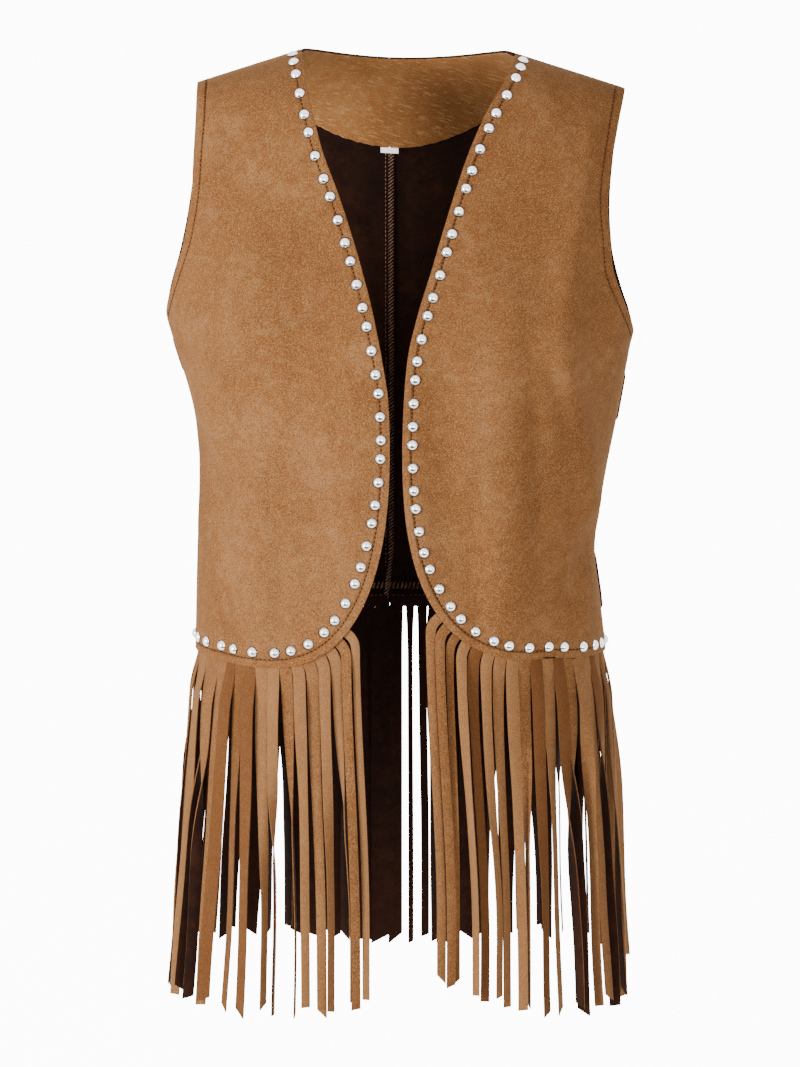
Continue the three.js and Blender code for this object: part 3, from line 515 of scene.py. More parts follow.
def back_grid(side):
    sign, underarm = SIGN[side], UNDERARM_Z[side]
    column = np.arange(COLUMNS + 1)
    neck_x = float(lookup(FRONT_EDGE, side, 0))
    tip_x = sign * SHOULDER_TIP_X[side]
    on_neck = column <= NECK_COLUMNS
    shoulder_x = neck_x + (tip_x - neck_x) * (column - NECK_COLUMNS) / (COLUMNS - NECK_COLUMNS)
    top_x = np.where(on_neck, CENTRE_BACK_X + (neck_x - CENTRE_BACK_X) * column / NECK_COLUMNS, shoulder_x)
    armhole = lambda z: sign * lookup(ARMHOLE[side], "back", z)

    def facing_height(x, share, neck):
        low = roll_angle(x, facing_z(x))
        high = np.where(neck, roll_angle(x, back_neck_z(x)), math.pi / 2)
        return roll_z(x, low + (high - low) * share)

    rows = []
    for share in np.linspace(0, 1, LOW_ROWS):
        height = lambda x, neck, s=share: hem_z("back", side, x) + (underarm - hem_z("back", side, x)) * s
        rows.append((height, 0.0, False))
    for share in np.linspace(0, 1, MIDDLE_ROWS + 1)[1:-1]:
        height = lambda x, neck, s=share: underarm + (facing_z(x) - underarm) * s
        rows.append((height, 0.5 * float(smoothstep(share)), True))
    for share in np.linspace(0, 1, FACING_ROWS):
        height = lambda x, neck, s=share: facing_height(x, s, neck)
        rows.append((height, 0.5 + share / 2, True))

    angles, heights, on_armhole = [], [], []
    for height, blend, above in rows:
        level = lambda x: height(x, False)
        end_x, end_z = sign * 176.0, float(height(sign * float(half_width(sign, -455)), False))
        if above:
            end_x, end_z = meet_edge(armhole, level)
        first = float(angle_at("back", CENTRE_BACK_X, end_z))
        last = float(angle_at("back", end_x, end_z)) if above else sign * math.pi / 2
        even_angle = np.linspace(first, last, COLUMNS + 1)
        even = x_at("back", even_angle, end_z)
        x = even + (top_x - even) * blend
        z = height(x, on_neck)
        angle = angle_at("back", x, z)
        if not above:
            angle[-1] = last
        angles.append(angle)
        heights.append(z)
        on_armhole.append(above)
    return np.array(angles), np.array(heights), np.array(on_armhole)


back_grids = {side: back_grid(side) for side in SIGN}
print("back grid:", back_grids["right"][0].shape)

# %% [markdown]
# ## Shared material effects
#
# Suede is leather or cloth with a raised nap. It has almost no gloss, a soft sheen at grazing
# angles, and light and dark patches where the nap was brushed one way or the other. One node
# group makes those patches, the fine grain and the brush strokes, and every suede uses it with
# its own colours. Another turns a distance from a sewn edge into the groove of a row of stitches.


# %% Node helpers
def make_group(name, inputs, outputs):
    tree = bpy.data.node_groups.new(name, "ShaderNodeTree")
    for title, kind, value in inputs:
        socket = tree.interface.new_socket(name=title, in_out="INPUT", socket_type=kind)
        if value is not None:
            socket.default_value = value
    for title, kind in outputs:
        tree.interface.new_socket(name=title, in_out="OUTPUT", socket_type=kind)
    return tree, tree.nodes.new("NodeGroupInput"), tree.nodes.new("NodeGroupOutput")


def noise(tree, vector, scale, detail=2.0, distortion=0.0):
    node = tree.nodes.new("ShaderNodeTexNoise")
    node.inputs["Scale"].default_value = scale
    node.inputs["Detail"].default_value = detail
    node.inputs["Distortion"].default_value = distortion
    tree.links.new(vector, node.inputs["Vector"])
    return node.outputs["Fac"]


def stretched(tree, vector, scale, turn=(0, 0, 0)):
    node = tree.nodes.new("ShaderNodeMapping")
    node.vector_type = "TEXTURE"
    node.inputs["Scale"].default_value = scale
    node.inputs["Rotation"].default_value = turn
    tree.links.new(vector, node.inputs["Vector"])
    return node.outputs["Vector"]


def ranged(tree, value, low, high, to_low, to_high, smooth=True):
    node = tree.nodes.new("ShaderNodeMapRange")
    node.interpolation_type = "SMOOTHSTEP" if smooth else "LINEAR"
    for socket, number in zip(node.inputs[1:5], (low, high, to_low, to_high)):
        socket.default_value = number
    tree.links.new(value, node.inputs["Value"])
    return node.outputs["Result"]


def combine(tree, operation, first, second):
    node = tree.nodes.new("ShaderNodeMath")
    node.operation = operation
    for socket, value in zip(node.inputs, (first, second)):
        if isinstance(value, (int, float)):
            socket.default_value = value
        else:
            tree.links.new(value, socket)
    return node.outputs["Value"]


def blended(tree, share, first, second, mode="MIX"):
    node = tree.nodes.new("ShaderNodeMix")
    node.data_type = "RGBA"
    node.blend_type = mode
    for name, kind, value in (("Factor", "VALUE", share), ("A", "RGBA", first), ("B", "RGBA", second)):
        socket = next(s for s in node.inputs if (s.name, s.type) == (name, kind))
        if isinstance(value, (int, float, tuple)):
            socket.default_value = value
        else:
            tree.links.new(value, socket)
    return next(s for s in node.outputs if s.type == "RGBA")


print("node helpers ready")

# %% Suede nap group
nap, nap_in, nap_out = make_group(
    "suede_nap",
    (
        ("Place", "NodeSocketVector", None),
        ("Mid", "NodeSocketColor", (0.3, 0.16, 0.07, 1)),
        ("Light", "NodeSocketColor", (0.5, 0.3, 0.15, 1)),
        ("Dark", "NodeSocketColor", (0.2, 0.1, 0.04, 1)),
        ("Brushed", "NodeSocketFloat", 0.5),
        ("Grain", "NodeSocketFloat", 0.3),
        ("Strokes", "NodeSocketFloat", 0.1),
    ),
    (("Color", "NodeSocketColor"), ("Roughness", "NodeSocketFloat"), ("Height", "NodeSocketFloat")),
)
place, brushed, grained = (nap_in.outputs[title] for title in ("Place", "Brushed", "Grain"))
patches = noise(nap, place, 24, 3.0, 0.3)
cloud = noise(nap, place, 120, 3.0, 0.2)
sweep_marks = noise(nap, stretched(nap, place, (1.0, 1.0, 2.6), (0, math.radians(-12), 0)), 15, 2.0, 0.5)
strokes = noise(nap, stretched(nap, place, (9.0, 1.0, 1.0), (0, math.radians(21), 0)), 640, 2.0, 0.2)
grain = noise(nap, place, 1150, 1.0)
fleck = noise(nap, place, 2100, 0.0)
mottle = combine(nap, "ADD", combine(nap, "MULTIPLY", patches, 0.45), combine(nap, "MULTIPLY", cloud, 0.55))
fine = combine(nap, "ADD", combine(nap, "MULTIPLY", grain, 0.65), combine(nap, "MULTIPLY", fleck, 0.35))
tone = nap_in.outputs["Mid"]
for pattern, low, high, most, share, shade in (
    (mottle, 0.5, 0.64, 1, brushed, "Light"), (mottle, 0.5, 0.36, 1, brushed, "Dark"),
    (sweep_marks, 0.48, 0.66, 0.7, brushed, "Light"), (sweep_marks, 0.5, 0.32, 0.9, brushed, "Dark"),
    (strokes, 0.54, 0.7, 1, nap_in.outputs["Strokes"], "Light"),
    (fine, 0.52, 0.62, 1, grained, "Light"), (fine, 0.48, 0.38, 1, grained, "Dark"),
):
    cover = combine(nap, "MULTIPLY", ranged(nap, pattern, low, high, 0, most), share)
    tone = blended(nap, cover, tone, nap_in.outputs[shade])
nap.links.new(tone, nap_out.inputs["Color"])
nap.links.new(ranged(nap, grain, 0.3, 0.7, 0.86, 1.0), nap_out.inputs["Roughness"])
height = combine(nap, "ADD", combine(nap, "MULTIPLY", fine, 0.8), combine(nap, "MULTIPLY", strokes, 0.25))
nap.links.new(height, nap_out.inputs["Height"])
print("group", nap.name, len(nap.nodes), "nodes")

# %% [markdown]
# A sewn edge is folded under and held by a row of stitches. Between the stitches and the edge
# the cloth is two layers thick and stands a little higher, and the row itself pulls a groove.
# The groove also gives a mask of painted shade, which darkens the colour along the row.

# %% Sewn edge group
sewn, sewn_in, sewn_out = make_group(
    "sewn_edge",
    (
        ("Distance", "NodeSocketFloat", 50.0),
        ("Row", "NodeSocketFloat", 6.5),
        ("Groove", "NodeSocketFloat", 1.1),
    ),
    (("Mask", "NodeSocketFloat"), ("Height", "NodeSocketFloat")),
)
past_row = combine(sewn, "SUBTRACT", sewn_in.outputs["Distance"], sewn_in.outputs["Row"])
off_row = combine(sewn, "ABSOLUTE", past_row, 0)
near_row = combine(sewn, "DIVIDE", off_row, sewn_in.outputs["Groove"])
groove = ranged(sewn, near_row, 0, 1.6, 1, 0)
band = ranged(sewn, past_row, -1.6, 1.8, 1, 0)
sewn.links.new(groove, sewn_out.inputs["Mask"])
sewn.links.new(combine(sewn, "SUBTRACT", band, groove), sewn_out.inputs["Height"])
print("group", sewn.name, len(sewn.nodes), "nodes")

# %% [markdown]
# ## Materials
#
# The right side of the suede is tan, the wrong side is a darker brown with hardly any nap, and its
# colour is made darker still as painted shade for the inside of the vest. Both are rough with a soft
# sheen. The facing's suede is painted lighter than the body's, as painted light for the light that it
# catches, and the rows of stitches and the seams darken the colour as painted shade in their grooves.
# The colours are for daylight, and apart from these painted marks the shadows come from the lights.


# %% Suede materials
def rgb(red, green, blue):
    return tuple((channel / 255) ** 2.2 for channel in (red, green, blue)) + (1.0,)


def start_material(name):
    material = bpy.data.materials.new(name)
    material.use_nodes = True
    tree = material.node_tree
    shader = tree.nodes["Principled BSDF"]
    coordinates = tree.nodes.new("ShaderNodeTexCoord")
    return material, tree, shader, coordinates.outputs["Object"]


def use_group(tree, group, **values):
    node = tree.nodes.new("ShaderNodeGroup")
    node.node_tree = group
    for title, value in values.items():
        if isinstance(value, (int, float, tuple)):
            node.inputs[title].default_value = value
        else:
            tree.links.new(value, node.inputs[title])
    return node


def bump(tree, shader, height, distance, strength=1.0):
    node = tree.nodes.new("ShaderNodeBump")
    node.inputs["Distance"].default_value = distance
    node.inputs["Strength"].default_value = strength
    tree.links.new(height, node.inputs["Height"])
    tree.links.new(node.outputs["Normal"], shader.inputs["Normal"])


def distance_attribute(tree, name):
    node = tree.nodes.new("ShaderNodeAttribute")
    node.attribute_name = name
    return node.outputs["Fac"]


def suede(name, mid, light, dark, brushed, grain, strokes, sheen, rows=(), strand=None):
    material, tree, shader, place = start_material(name)
    surface = use_group(
        tree, nap, Place=place, Mid=mid, Light=light, Dark=dark, Brushed=brushed, Grain=grain,
        Strokes=strokes)
    colour, height = surface.outputs["Color"], combine(tree, "MULTIPLY", surface.outputs["Height"], 0.3)
    for attribute, row, groove, depth in rows:
        edge = use_group(tree, sewn, Distance=distance_attribute(tree, attribute), Row=row, Groove=groove)
        # Painted shade: the groove mask darkens the colour along each row of stitches and each seam.
        share = combine(tree, "MULTIPLY", edge.outputs["Mask"], 0.35)
        colour = blended(tree, share, colour, dark)
        height = combine(tree, "ADD", height, combine(tree, "MULTIPLY", edge.outputs["Height"], depth))
    if strand:
        own = distance_attribute(tree, strand)
        colour = blended(tree, ranged(tree, own, 0.5, 0.0, 0, 0.75), colour, dark)
        colour = blended(tree, ranged(tree, own, 0.5, 1.0, 0, 0.45), colour, light)
    tree.links.new(colour, shader.inputs["Base Color"])
    tree.links.new(surface.outputs["Roughness"], shader.inputs["Roughness"])
    shader.inputs["Specular IOR Level"].default_value = 0.18
    shader.inputs["Sheen Weight"].default_value = sheen
    shader.inputs["Sheen Roughness"].default_value = 0.45
    shader.inputs["Sheen Tint"].default_value = rgb(235, 190, 140)
    bump(tree, shader, height, 0.0008)
    return material


SEWN_ROWS = (("edge_mm", 6.5, 1.1, 1.0), ("armhole_mm", 8.0, 1.1, 1.0), ("seam_mm", 0.0, 1.3, 0.6))
tan_suede = suede(
    "tan_suede", rgb(150, 99, 57), rgb(184, 134, 90), rgb(116, 71, 37), 0.42, 0.85, 0.05, 0.3, SEWN_ROWS)
# The wrong side is dark brown, and its colour is darkened further as painted shade for the inside of the
# vest.
shaded_wrong_side = suede("suede_shaded_wrong_side", rgb(48, 27, 18), rgb(66, 39, 27), rgb(24, 12, 8), 0.7, 0.3, 0.0, 0.03)
fringe_suede = suede(
    "fringe_suede", rgb(150, 99, 58), rgb(184, 134, 90), rgb(108, 66, 36), 0.3, 0.75, 0.03, 0.25,
    strand="strand_tone")
# Painted light: the facing's colours are lighter than the body suede's, for the light that the facing catches
# inside the back neck.
facing_suede_with_painted_light = suede(
    "facing_suede_with_painted_light", rgb(186, 124, 72), rgb(220, 164, 108), rgb(148, 90, 46), 0.35, 0.5, 1.0, 0.25)
print("suedes:", [m.name for m in (tan_suede, shaded_wrong_side, fringe_suede, facing_suede_with_painted_light)])

# %% [markdown]
# Thread is spun and slightly shiny. The studs are plated steel: bright, with faint smears that
# change only their roughness, and the dark outer ring of each stud is a painted contact shadow.
# The label is white ribbon, woven finely enough to show as ribs, and it glows a little as painted
# light.


# %% Thread, metal and ribbon materials
def plain_finish(name, light, dark, scale, roughness, metallic=0.0, depth=0.0002):
    material, tree, shader, place = start_material(name)
    variation = noise(tree, place, scale, 2.0)
    colour = blended(tree, ranged(tree, variation, 0.35, 0.65, 0, 1), dark, light)
    tree.links.new(colour, shader.inputs["Base Color"])
    low, high = roughness
    tree.links.new(ranged(tree, variation, 0.3, 0.7, low, high), shader.inputs["Roughness"])
    shader.inputs["Metallic"].default_value = metallic
    if depth:
        bump(tree, shader, variation, depth)
    return material


dark_thread = plain_finish("dark_thread", rgb(78, 42, 18), rgb(52, 28, 12), 900, (0.85, 0.95))
dark_thread.node_tree.nodes["Principled BSDF"].inputs["Specular IOR Level"].default_value = 0.15
loop_thread = plain_finish("loop_thread", rgb(176, 134, 104), rgb(112, 76, 54), 700, (0.5, 0.75))
plated_steel = plain_finish(
    "plated_steel", (0.95, 0.95, 0.94, 1), (0.86, 0.86, 0.86, 1), 240, (0.08, 0.2), 1.0, 0)
# Painted shadow: a dark metal for the flange round each dome, standing in for the contact shadow on the
# cloth.
painted_shadow_rim = plain_finish("painted_shadow_rim", rgb(70, 52, 40), rgb(40, 26, 18), 600, (0.4, 0.6), 0.6, 0)

white_ribbon, ribbon_tree, ribbon_shader, ribbon_place = start_material("white_ribbon")
ribs = ribbon_tree.nodes.new("ShaderNodeTexWave")
ribs.wave_type = "BANDS"
ribs.bands_direction = "Z"
ribs.inputs["Scale"].default_value = 650
ribs.inputs["Distortion"].default_value = 0.6
ribbon_tree.links.new(ribbon_place, ribs.inputs["Vector"])
ribbon_tone = blended(ribbon_tree, ribs.outputs["Fac"], rgb(214, 212, 206), rgb(246, 246, 243))
ribbon_tree.links.new(ribbon_tone, ribbon_shader.inputs["Base Color"])
rib_gloss = ranged(ribbon_tree, ribs.outputs["Fac"], 0, 1, 0.75, 0.6)
ribbon_tree.links.new(rib_gloss, ribbon_shader.inputs["Roughness"])
ribbon_shader.inputs["Sheen Weight"].default_value = 0.15
# Painted light: the ribbon glows with its own colour, so it stays white in the shade under the facing.
ribbon_tree.links.new(ribbon_tone, ribbon_shader.inputs["Emission Color"])
ribbon_shader.inputs["Emission Strength"].default_value = 1.6
bump(ribbon_tree, ribbon_shader, ribs.outputs["Fac"], 0.00015)
print("finishes:", [m.name for m in (dark_thread, loop_thread, plated_steel, painted_shadow_rim, white_ribbon)])

# %% [markdown]
# ## The four panels
#
# Each panel is a flat grid whose points are moved onto the form, like a cut piece of cloth laid
# over a body. A wall is added inwards, with the wrong side of the suede on its inner face, and
# its cut edges are rounded. Three distances are kept at every point, from the finished edge, the
# armhole and the seams, so the material knows where the rows of stitches run.


# %% Laying a grid of cloth
def polyline_distance(points, line):
    best = np.full(len(points), 1e9)
    for start, end in zip(line[:-1], line[1:]):
        span = end - start
        share = np.clip((points - start) @ span / max(1e-9, span @ span), 0, 1)
        best = np.minimum(best, np.linalg.norm(points - start - share[:, None] * span, axis=1))
    return best


def laid_cloth(name, points, attributes=None):
    rows, columns = points.shape[:2]
    sheet = bmesh.new()
    bmesh.ops.create_grid(sheet, x_segments=columns - 1, y_segments=rows - 1, size=1)
    layers = {key: sheet.verts.layers.float.new(key) for key in (attributes or {})}
    for vert in sheet.verts:
        c = round((vert.co.x + 1) / 2 * (columns - 1))
        r = round((vert.co.y + 1) / 2 * (rows - 1))
        vert.co = Vector(points[r, c]) * MM
        for key, layer in layers.items():
            vert[layer] = attributes[key][r, c]
    for polygon in sheet.faces:
        polygon.smooth = True
    return placed(name, sheet)


def turn_outwards(piece, outward):
    mesh = piece.data
    total = sum(polygon.normal.dot(outward(polygon.center)) for polygon in mesh.polygons)
    if total < 0:
        mesh.flip_normals()


def give_wall(piece, thickness, outer, inner, rounding=0.35, dark_rim=False):
    piece.data.materials.append(outer)
    piece.data.materials.append(inner)
    wall = piece.modifiers.new("wall", "SOLIDIFY")
    wall.thickness = thickness * MM
    wall.offset = -1
    wall.material_offset = 1
    wall.material_offset_rim = 1 if dark_rim else 0
    if rounding:
        edge = piece.modifiers.new("rounded_edge", "BEVEL")
        edge.width = rounding * MM
        edge.segments = 2
        edge.limit_method = "ANGLE"
        edge.angle_limit = math.radians(50)


def area_of(points):
    a = points[1:, :-1] - points[:-1, :-1]
    b = points[:-1, 1:] - points[:-1, :-1]
    c = points[1:, :-1] - points[1:, 1:]
    d = points[:-1, 1:] - points[1:, 1:]
    halves = np.linalg.norm(np.cross(a, b), axis=-1) + np.linalg.norm(np.cross(c, d), axis=-1)
    return float(halves.sum() / 2) * MM * MM


print("cloth helpers ready")


# %% The fronts and backs
def panel_points(face, side):
    angles, heights, on_armhole = (front_grids if face == "front" else back_grids)[side]
    points = cloth(face, angles, heights)
    gap = SEAM_GAP / 2 if face == "back" else -SEAM_GAP / 2
    points[~on_armhole, -1, 1] = gap
    shoulder = slice(0, None) if face == "front" else slice(NECK_COLUMNS, None)
    points[-1, shoulder, 1] = SHOULDER_Y + gap
    if face == "back":
        points[:, 0, 0] = CENTRE_BACK_X + SIGN[side] * SEAM_GAP / 2
    return points


def panel_lines(face, points, on_armhole):
    side_end = points[~on_armhole, -1]
    armhole = points[np.concatenate(([False], on_armhole[1:] | on_armhole[:-1])) | on_armhole, -1]
    if face == "front":
        return {
            "edge_mm": [np.concatenate((points[0, ::-1], points[:, 0]))],
            "armhole_mm": [np.concatenate((side_end[-1:], armhole))],
            "seam_mm": [side_end, points[-1]],
        }
    return {
        "edge_mm": [points[0], points[-1, : NECK_COLUMNS + 1]],
        "armhole_mm": [np.concatenate((side_end[-1:], armhole))],
        "seam_mm": [side_end, points[-1, NECK_COLUMNS:], points[:, 0]],
    }


panel_data = {}
for face in ("front", "back"):
    for side in SIGN:
        points = panel_points(face, side)
        on_armhole = (front_grids if face == "front" else back_grids)[side][2]
        flat_list = points.reshape(-1, 3)
        attributes = {}
        for key, lines in panel_lines(face, points, on_armhole).items():
            distance = np.min([polyline_distance(flat_list, line) for line in lines], axis=0)
            attributes[key] = distance.reshape(points.shape[:2])
        piece = laid_cloth(f"cloth_{face}_{side}", points, attributes)
        turn_outwards(piece, lambda centre: centre - Vector((0, 0, centre.z - 0.05)))
        give_wall(piece, WALL, tan_suede, shaded_wrong_side, dark_rim=face == "back")
        panel_data[face, side] = (points, attributes)
        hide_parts(f"{face}_{side}")
        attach(piece, "root")
        print(piece.name, "area", round(area_of(points), 4), "m2")

# %% [markdown]
# ## The lower edge as a walk
#
# Studs, stitches and strands all follow the vest's edge. The walk lists places along it with
# the direction into the cloth, and gives the place at any distance from the shoulder.


# %% Walking along the edge
FOLLOW_GAP = 0.006


def edge_places(face, side):
    places = []
    if face == "front":
        for z in np.linspace(0, CORNER[side]["top_z"], 90)[:-1]:
            places.append((float(lookup(FRONT_EDGE, side, z)), float(z), False))
        places += [(*corner_point(side, turn), False) for turn in np.linspace(0, math.pi / 2, 90)[:-1]]
        start_x = corner_point(side, math.pi / 2)[0]
    else:
        start_x = CENTRE_BACK_X + SIGN[side]
    low = CORNER[side]["side_hem_z"]
    first = float(angle_at(face, start_x, low))
    for angle in np.linspace(first, SIGN[side] * (math.pi / 2 - FOLLOW_GAP), 90):
        x = float(x_at(face, angle, low))
        places.append((x, float(hem_z(face, side, x)), True))
    flat = np.array([place[:2] for place in places])
    inward = np.gradient(flat, axis=0)[:, ::-1] * (-SIGN[side], SIGN[side])
    inward /= np.linalg.norm(inward, axis=1, keepdims=True)
    inward[[place[2] for place in places]] = (0, 1)
    return flat, inward


def edge_walk(face, side):
    flat, inward = edge_places(face, side)
    solid = plain_form(face, angle_at(face, flat[:, 0], flat[:, 1]), flat[:, 1])
    along = np.concatenate(([0], np.cumsum(np.linalg.norm(np.diff(solid, axis=0), axis=1))))

    def at(distance):
        return [np.interp(distance, along, column) for column in (*flat.T, *inward.T)]

    return along, flat, at


def inset_place(face, place, inset):
    x, z, inward_x, inward_z = place
    low = z + inward_z * inset
    new_x = x_at(face, angle_at(face, x, z), low) + inward_x * inset
    return angle_at(face, new_x, low), low


walks = {(face, side): edge_walk(face, side) for face in ("front", "back") for side in SIGN}
print("edge lengths:", {"_".join(key): round(float(walk[0][-1])) for key, walk in walks.items()})

# %% [markdown]
# ## Fringe
#
# The real fringe is one band of suede, slit into strands about 9 mm wide and sewn inside the
# hem. Each strand starts square to the edge, bends down within a few centimetres and then hangs.
# A grid for each strand is moved along its own hanging line. Neighbours lean together in small
# groups, some turn over and show the wrong side, dark brown and darker still with painted shade,
# and tips are cut at a slant.

# %% Sizes of the fringe
STRAND_PITCH = 9.6
STRAND_SLIT = 0.15
STRAND_WALL = 1.0
STRIP_HEIGHT = 8.0
STRIP_INSET = 0.8
STRIP_DEPTH = WALL + 0.6
STRAND_LENGTH = 274.0
STRAND_BEND = 17.0
FRINGE_DRIFT = {"front": 8.0, "back": 0.0}
STRAND_ROWS = 44
LAYER_OFFSET = 1.7
SIDE_FLARE = {"right": 0.075, "left": 0.055}
SIDE_KICK = 5.0
FRINGE_START_X = {"right": -36.5, "left": 26.0}
FRINGE_TIPS = (
    ("x", "front", "back"),
    (-180, -708, -700), (-140, -718, -697), (-95, -721, -700), (-50, -715, -705),
    (-15, -694, -709), (30, -694, -711), (60, -709, -704), (120, -722, -698), (180, -723, -700),
)
GROUPS = (3, 2, 4, 2, 3, 3, 2, 4, 3, 2)


# %% One strand
def unit(vector):
    return vector / max(1e-9, float(np.linalg.norm(vector)))


def group_lean(index, count):
    start = 0
    for size in GROUPS * 9:
        if index < start + size:
            middle = start + (min(size, count - start) - 1) / 2
            return middle - index
        start += size
    return 0.0


def strand_points(face, side, index, count, root):
    chance = random.Random(f"{face} {side} {index}")
    start, heading, across, normal, width, free = root
    out = unit(normal * (1, 1, 0))
    level = np.array((-out[1], out[0], 0.0))
    level = level if level @ across > 0 else -level
    side_share = float(smoothstep((abs(start[0]) - 70) / 70))
    hang = unit(np.array((SIGN[side] * SIDE_FLARE[side] * side_share, out[1] * 0.01, -1.0)))
    layer = LAYER_OFFSET * (1 if index % 2 else -1) - LAYER_OFFSET
    sway = 2.2 * math.sin(1.9 * index + 0.6) + 1.8 * math.sin(0.53 * index + (0 if face == "front" else 2))
    lean = 2.6 * group_lean(index, count)
    turns = index % 5 == 3 or chance.random() < 0.15
    twist = (chance.uniform(1.0, 2.2) if turns else chance.uniform(0.1, 0.8)) * chance.choice((-1, 1))
    turn_from = chance.uniform(15, 100)
    if face == "back":
        fuller, slimmer, slim_from = 0.5, chance.uniform(0.02, 0.3), chance.uniform(130, 240)
        if index == 0:
            start, width = start - across * 2.0, width + 4.0
    else:
        fuller = 0.15 * side_share
        slimmer = chance.uniform(0.02, 0.22) + 0.1 * (1 - side_share)
        slim_from = chance.uniform(-25, 60) + 50 * side_share
        on_corner = float(smoothstep((start[2] - CORNER[side]["side_hem_z"] - 4) / 22))
        slimmer, slim_from = slimmer + 0.14 * on_corner, slim_from * (1 - on_corner) - 40 * on_corner
    if (face, side) == ("back", "left") and index in (0, 1, 2):
        slimmer, slim_from, fuller = (0.2, 0.6, 0.35)[index], -40.0, 0.0
        sway, lean, twist = (0.0, 1.5, 3.0)[index], 0.0, 0.1
    tip_z = float(lookup(FRINGE_TIPS, face, start[0], "x")) + 3.8 * math.sin(4.1 * index)
    scale = (start[2] - tip_z) / STRAND_LENGTH
    steps = np.concatenate((np.linspace(0, 30, 12)[:-1], np.linspace(30, STRAND_LENGTH, STRAND_ROWS - 11)))
    centre = start.copy()
    rows = []
    for k, step in enumerate(steps):
        middle = (step + steps[max(0, k - 1)]) / 2
        centre = centre + unit(heading + (hang - heading) * float(smoothstep(middle / STRAND_BEND))) * (
            (step - steps[max(0, k - 1)]) * scale)
        hung = float(smoothstep(step / STRAND_BEND))
        low = float(smoothstep(step / 230))
        tangent = unit(heading + (hang - heading) * hung)
        wide = across + (level - across) * hung
        wide = unit(wide - tangent * (wide @ tangent))
        turned = twist * free * float(smoothstep((step - turn_from) / 110))
        thick = np.cross(tangent, wide)
        thick = thick if thick @ out > 0 else -thick
        cosine, sine = math.cos(turned), math.sin(turned)
        wide, thick = wide * cosine + thick * sine, thick * cosine - wide * sine
        ripple = 0.9 * math.sin(step / 31 + 1.7 * index) * low
        kick = SIDE_KICK * side_share * float(smoothstep(step / 40))
        place = centre + out * (layer * float(smoothstep(step / 40)) + ripple + kick)
        place = place + level * ((sway * low + lean * low * low) * free)
        place[0] += FRINGE_DRIFT[face] * (1 - side_share) * low
        slant = chance.uniform(-0.8, 0.8) if k == STRAND_ROWS - 1 else 0.0
        narrow = 1 + fuller * float(smoothstep(step / 25))
        narrow *= 1 - slimmer * float(smoothstep((step - slim_from) / 80))
        curl = 0.25 * low
        row = []
        for share in (-1, 0, 1):
            row.append(place + wide * (share * width / 2 * narrow) + thick * (curl * (share * share - 0.5))
                       + tangent * (slant * share * width / 2))
        rows.append(row)
    return np.array(rows)


print("strand rows:", STRAND_ROWS)


# %% The four bands of fringe
def joined(name, pieces_of_points, outwards, tones):
    whole = bmesh.new()
    tone_layer = whole.verts.layers.float.new("strand_tone")
    for points, outward, tone in zip(pieces_of_points, outwards, tones):
        rows, columns = points.shape[:2]
        made = bmesh.ops.create_grid(whole, x_segments=columns - 1, y_segments=rows - 1, size=1)["verts"]
        for vert in made:
            c = round((vert.co.x + 1) / 2 * (columns - 1))
            r = round((vert.co.y + 1) / 2 * (rows - 1))
            vert.co = Vector(points[r, c]) * MM
            vert[tone_layer] = tone
        polygons = list({polygon for vert in made for polygon in vert.link_faces})
        first = min(polygons, key=lambda polygon: -polygon.calc_center_median().z)
        first.normal_update()
        if first.normal.dot(Vector(outward)) < 0:
            bmesh.ops.reverse_faces(whole, faces=polygons)
        for polygon in polygons:
            polygon.smooth = True
    return placed(name, whole)


def fringe_band(face, side):
    along, flat, at = walks[face, side]
    first = 0.6
    if face == "front":
        from_middle = (flat[:, 0] - FRINGE_START_X[side]) * SIGN[side]
        started = (flat[:, 1] < CORNER[side]["top_z"]) & (from_middle > 0)
        first = float(along[np.argmax(started)])
    count = round((along[-1] - first) / STRAND_PITCH)
    pitch = (along[-1] - first) / count
    grids, outwards, strip, tones = [], [], [], []
    shades = random.Random(f"shade {face} {side}")
    for distance in np.linspace(first, along[-1], 4 * count + 1):
        column = []
        for inset in np.linspace(STRIP_INSET, STRIP_INSET + STRIP_HEIGHT, 4):
            angle, z = inset_place(face, at(distance), inset)
            column.append(cloth(face, angle, z, -STRIP_DEPTH))
        strip.append(column)
    strip = np.array(strip)
    grids.append(strip)
    tones.append(0.5)
    outwards.append(form_normal(face, *inset_place(face, at(first + 2), 4)))
    for index in range(count):
        ends = []
        for share in (index, index + 1):
            distance = first + share * pitch
            low = inset_place(face, at(distance), STRIP_INSET)
            high = inset_place(face, at(distance), STRIP_INSET + STRIP_HEIGHT)
            ends.append((cloth(face, *low, -STRIP_DEPTH), cloth(face, *high, -STRIP_DEPTH)))
        start = (ends[0][0] + ends[1][0]) / 2
        heading = unit(ends[0][0] + ends[1][0] - ends[0][1] - ends[1][1])
        across = unit(ends[1][0] - ends[0][0])
        angle, z = inset_place(face, at(first + (index + 0.5) * pitch), STRIP_INSET)
        normal = form_normal(face, angle, z)
        free = min(1.0, (index + 0.5) / 3, (count - index - 0.5) / 3)
        root = (start, heading, across, normal, pitch - STRAND_SLIT, free)
        grids.append(strand_points(face, side, index, count, root))
        tones.append(shades.random())
        outwards.append(normal)
    piece = joined(f"strands_{face}_{side}", grids, outwards, tones)
    give_wall(piece, STRAND_WALL, fringe_suede, shaded_wrong_side, 0)
    flat_faces = piece.modifiers.new("flat_faces", "WEIGHTED_NORMAL")
    flat_faces.weight = 100
    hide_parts(f"fringe_{face}_{side}")
    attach(piece, "root")
    print(piece.name, count, "strands,", len(piece.data.polygons), "faces")
    return piece, count


fringes = {(face, side): fringe_band(face, side) for face in ("front", "back") for side in SIGN}

# %% [markdown]
# ## Neck facing and label
#
# A facing is a shaped band inside the back neck, which hides the raw seam. It is laid from the
# same rows as the back, one wall further in, so that it follows it exactly. Its lower edge is
# left raw. A small blank ribbon is caught under that edge, folded in a loop.

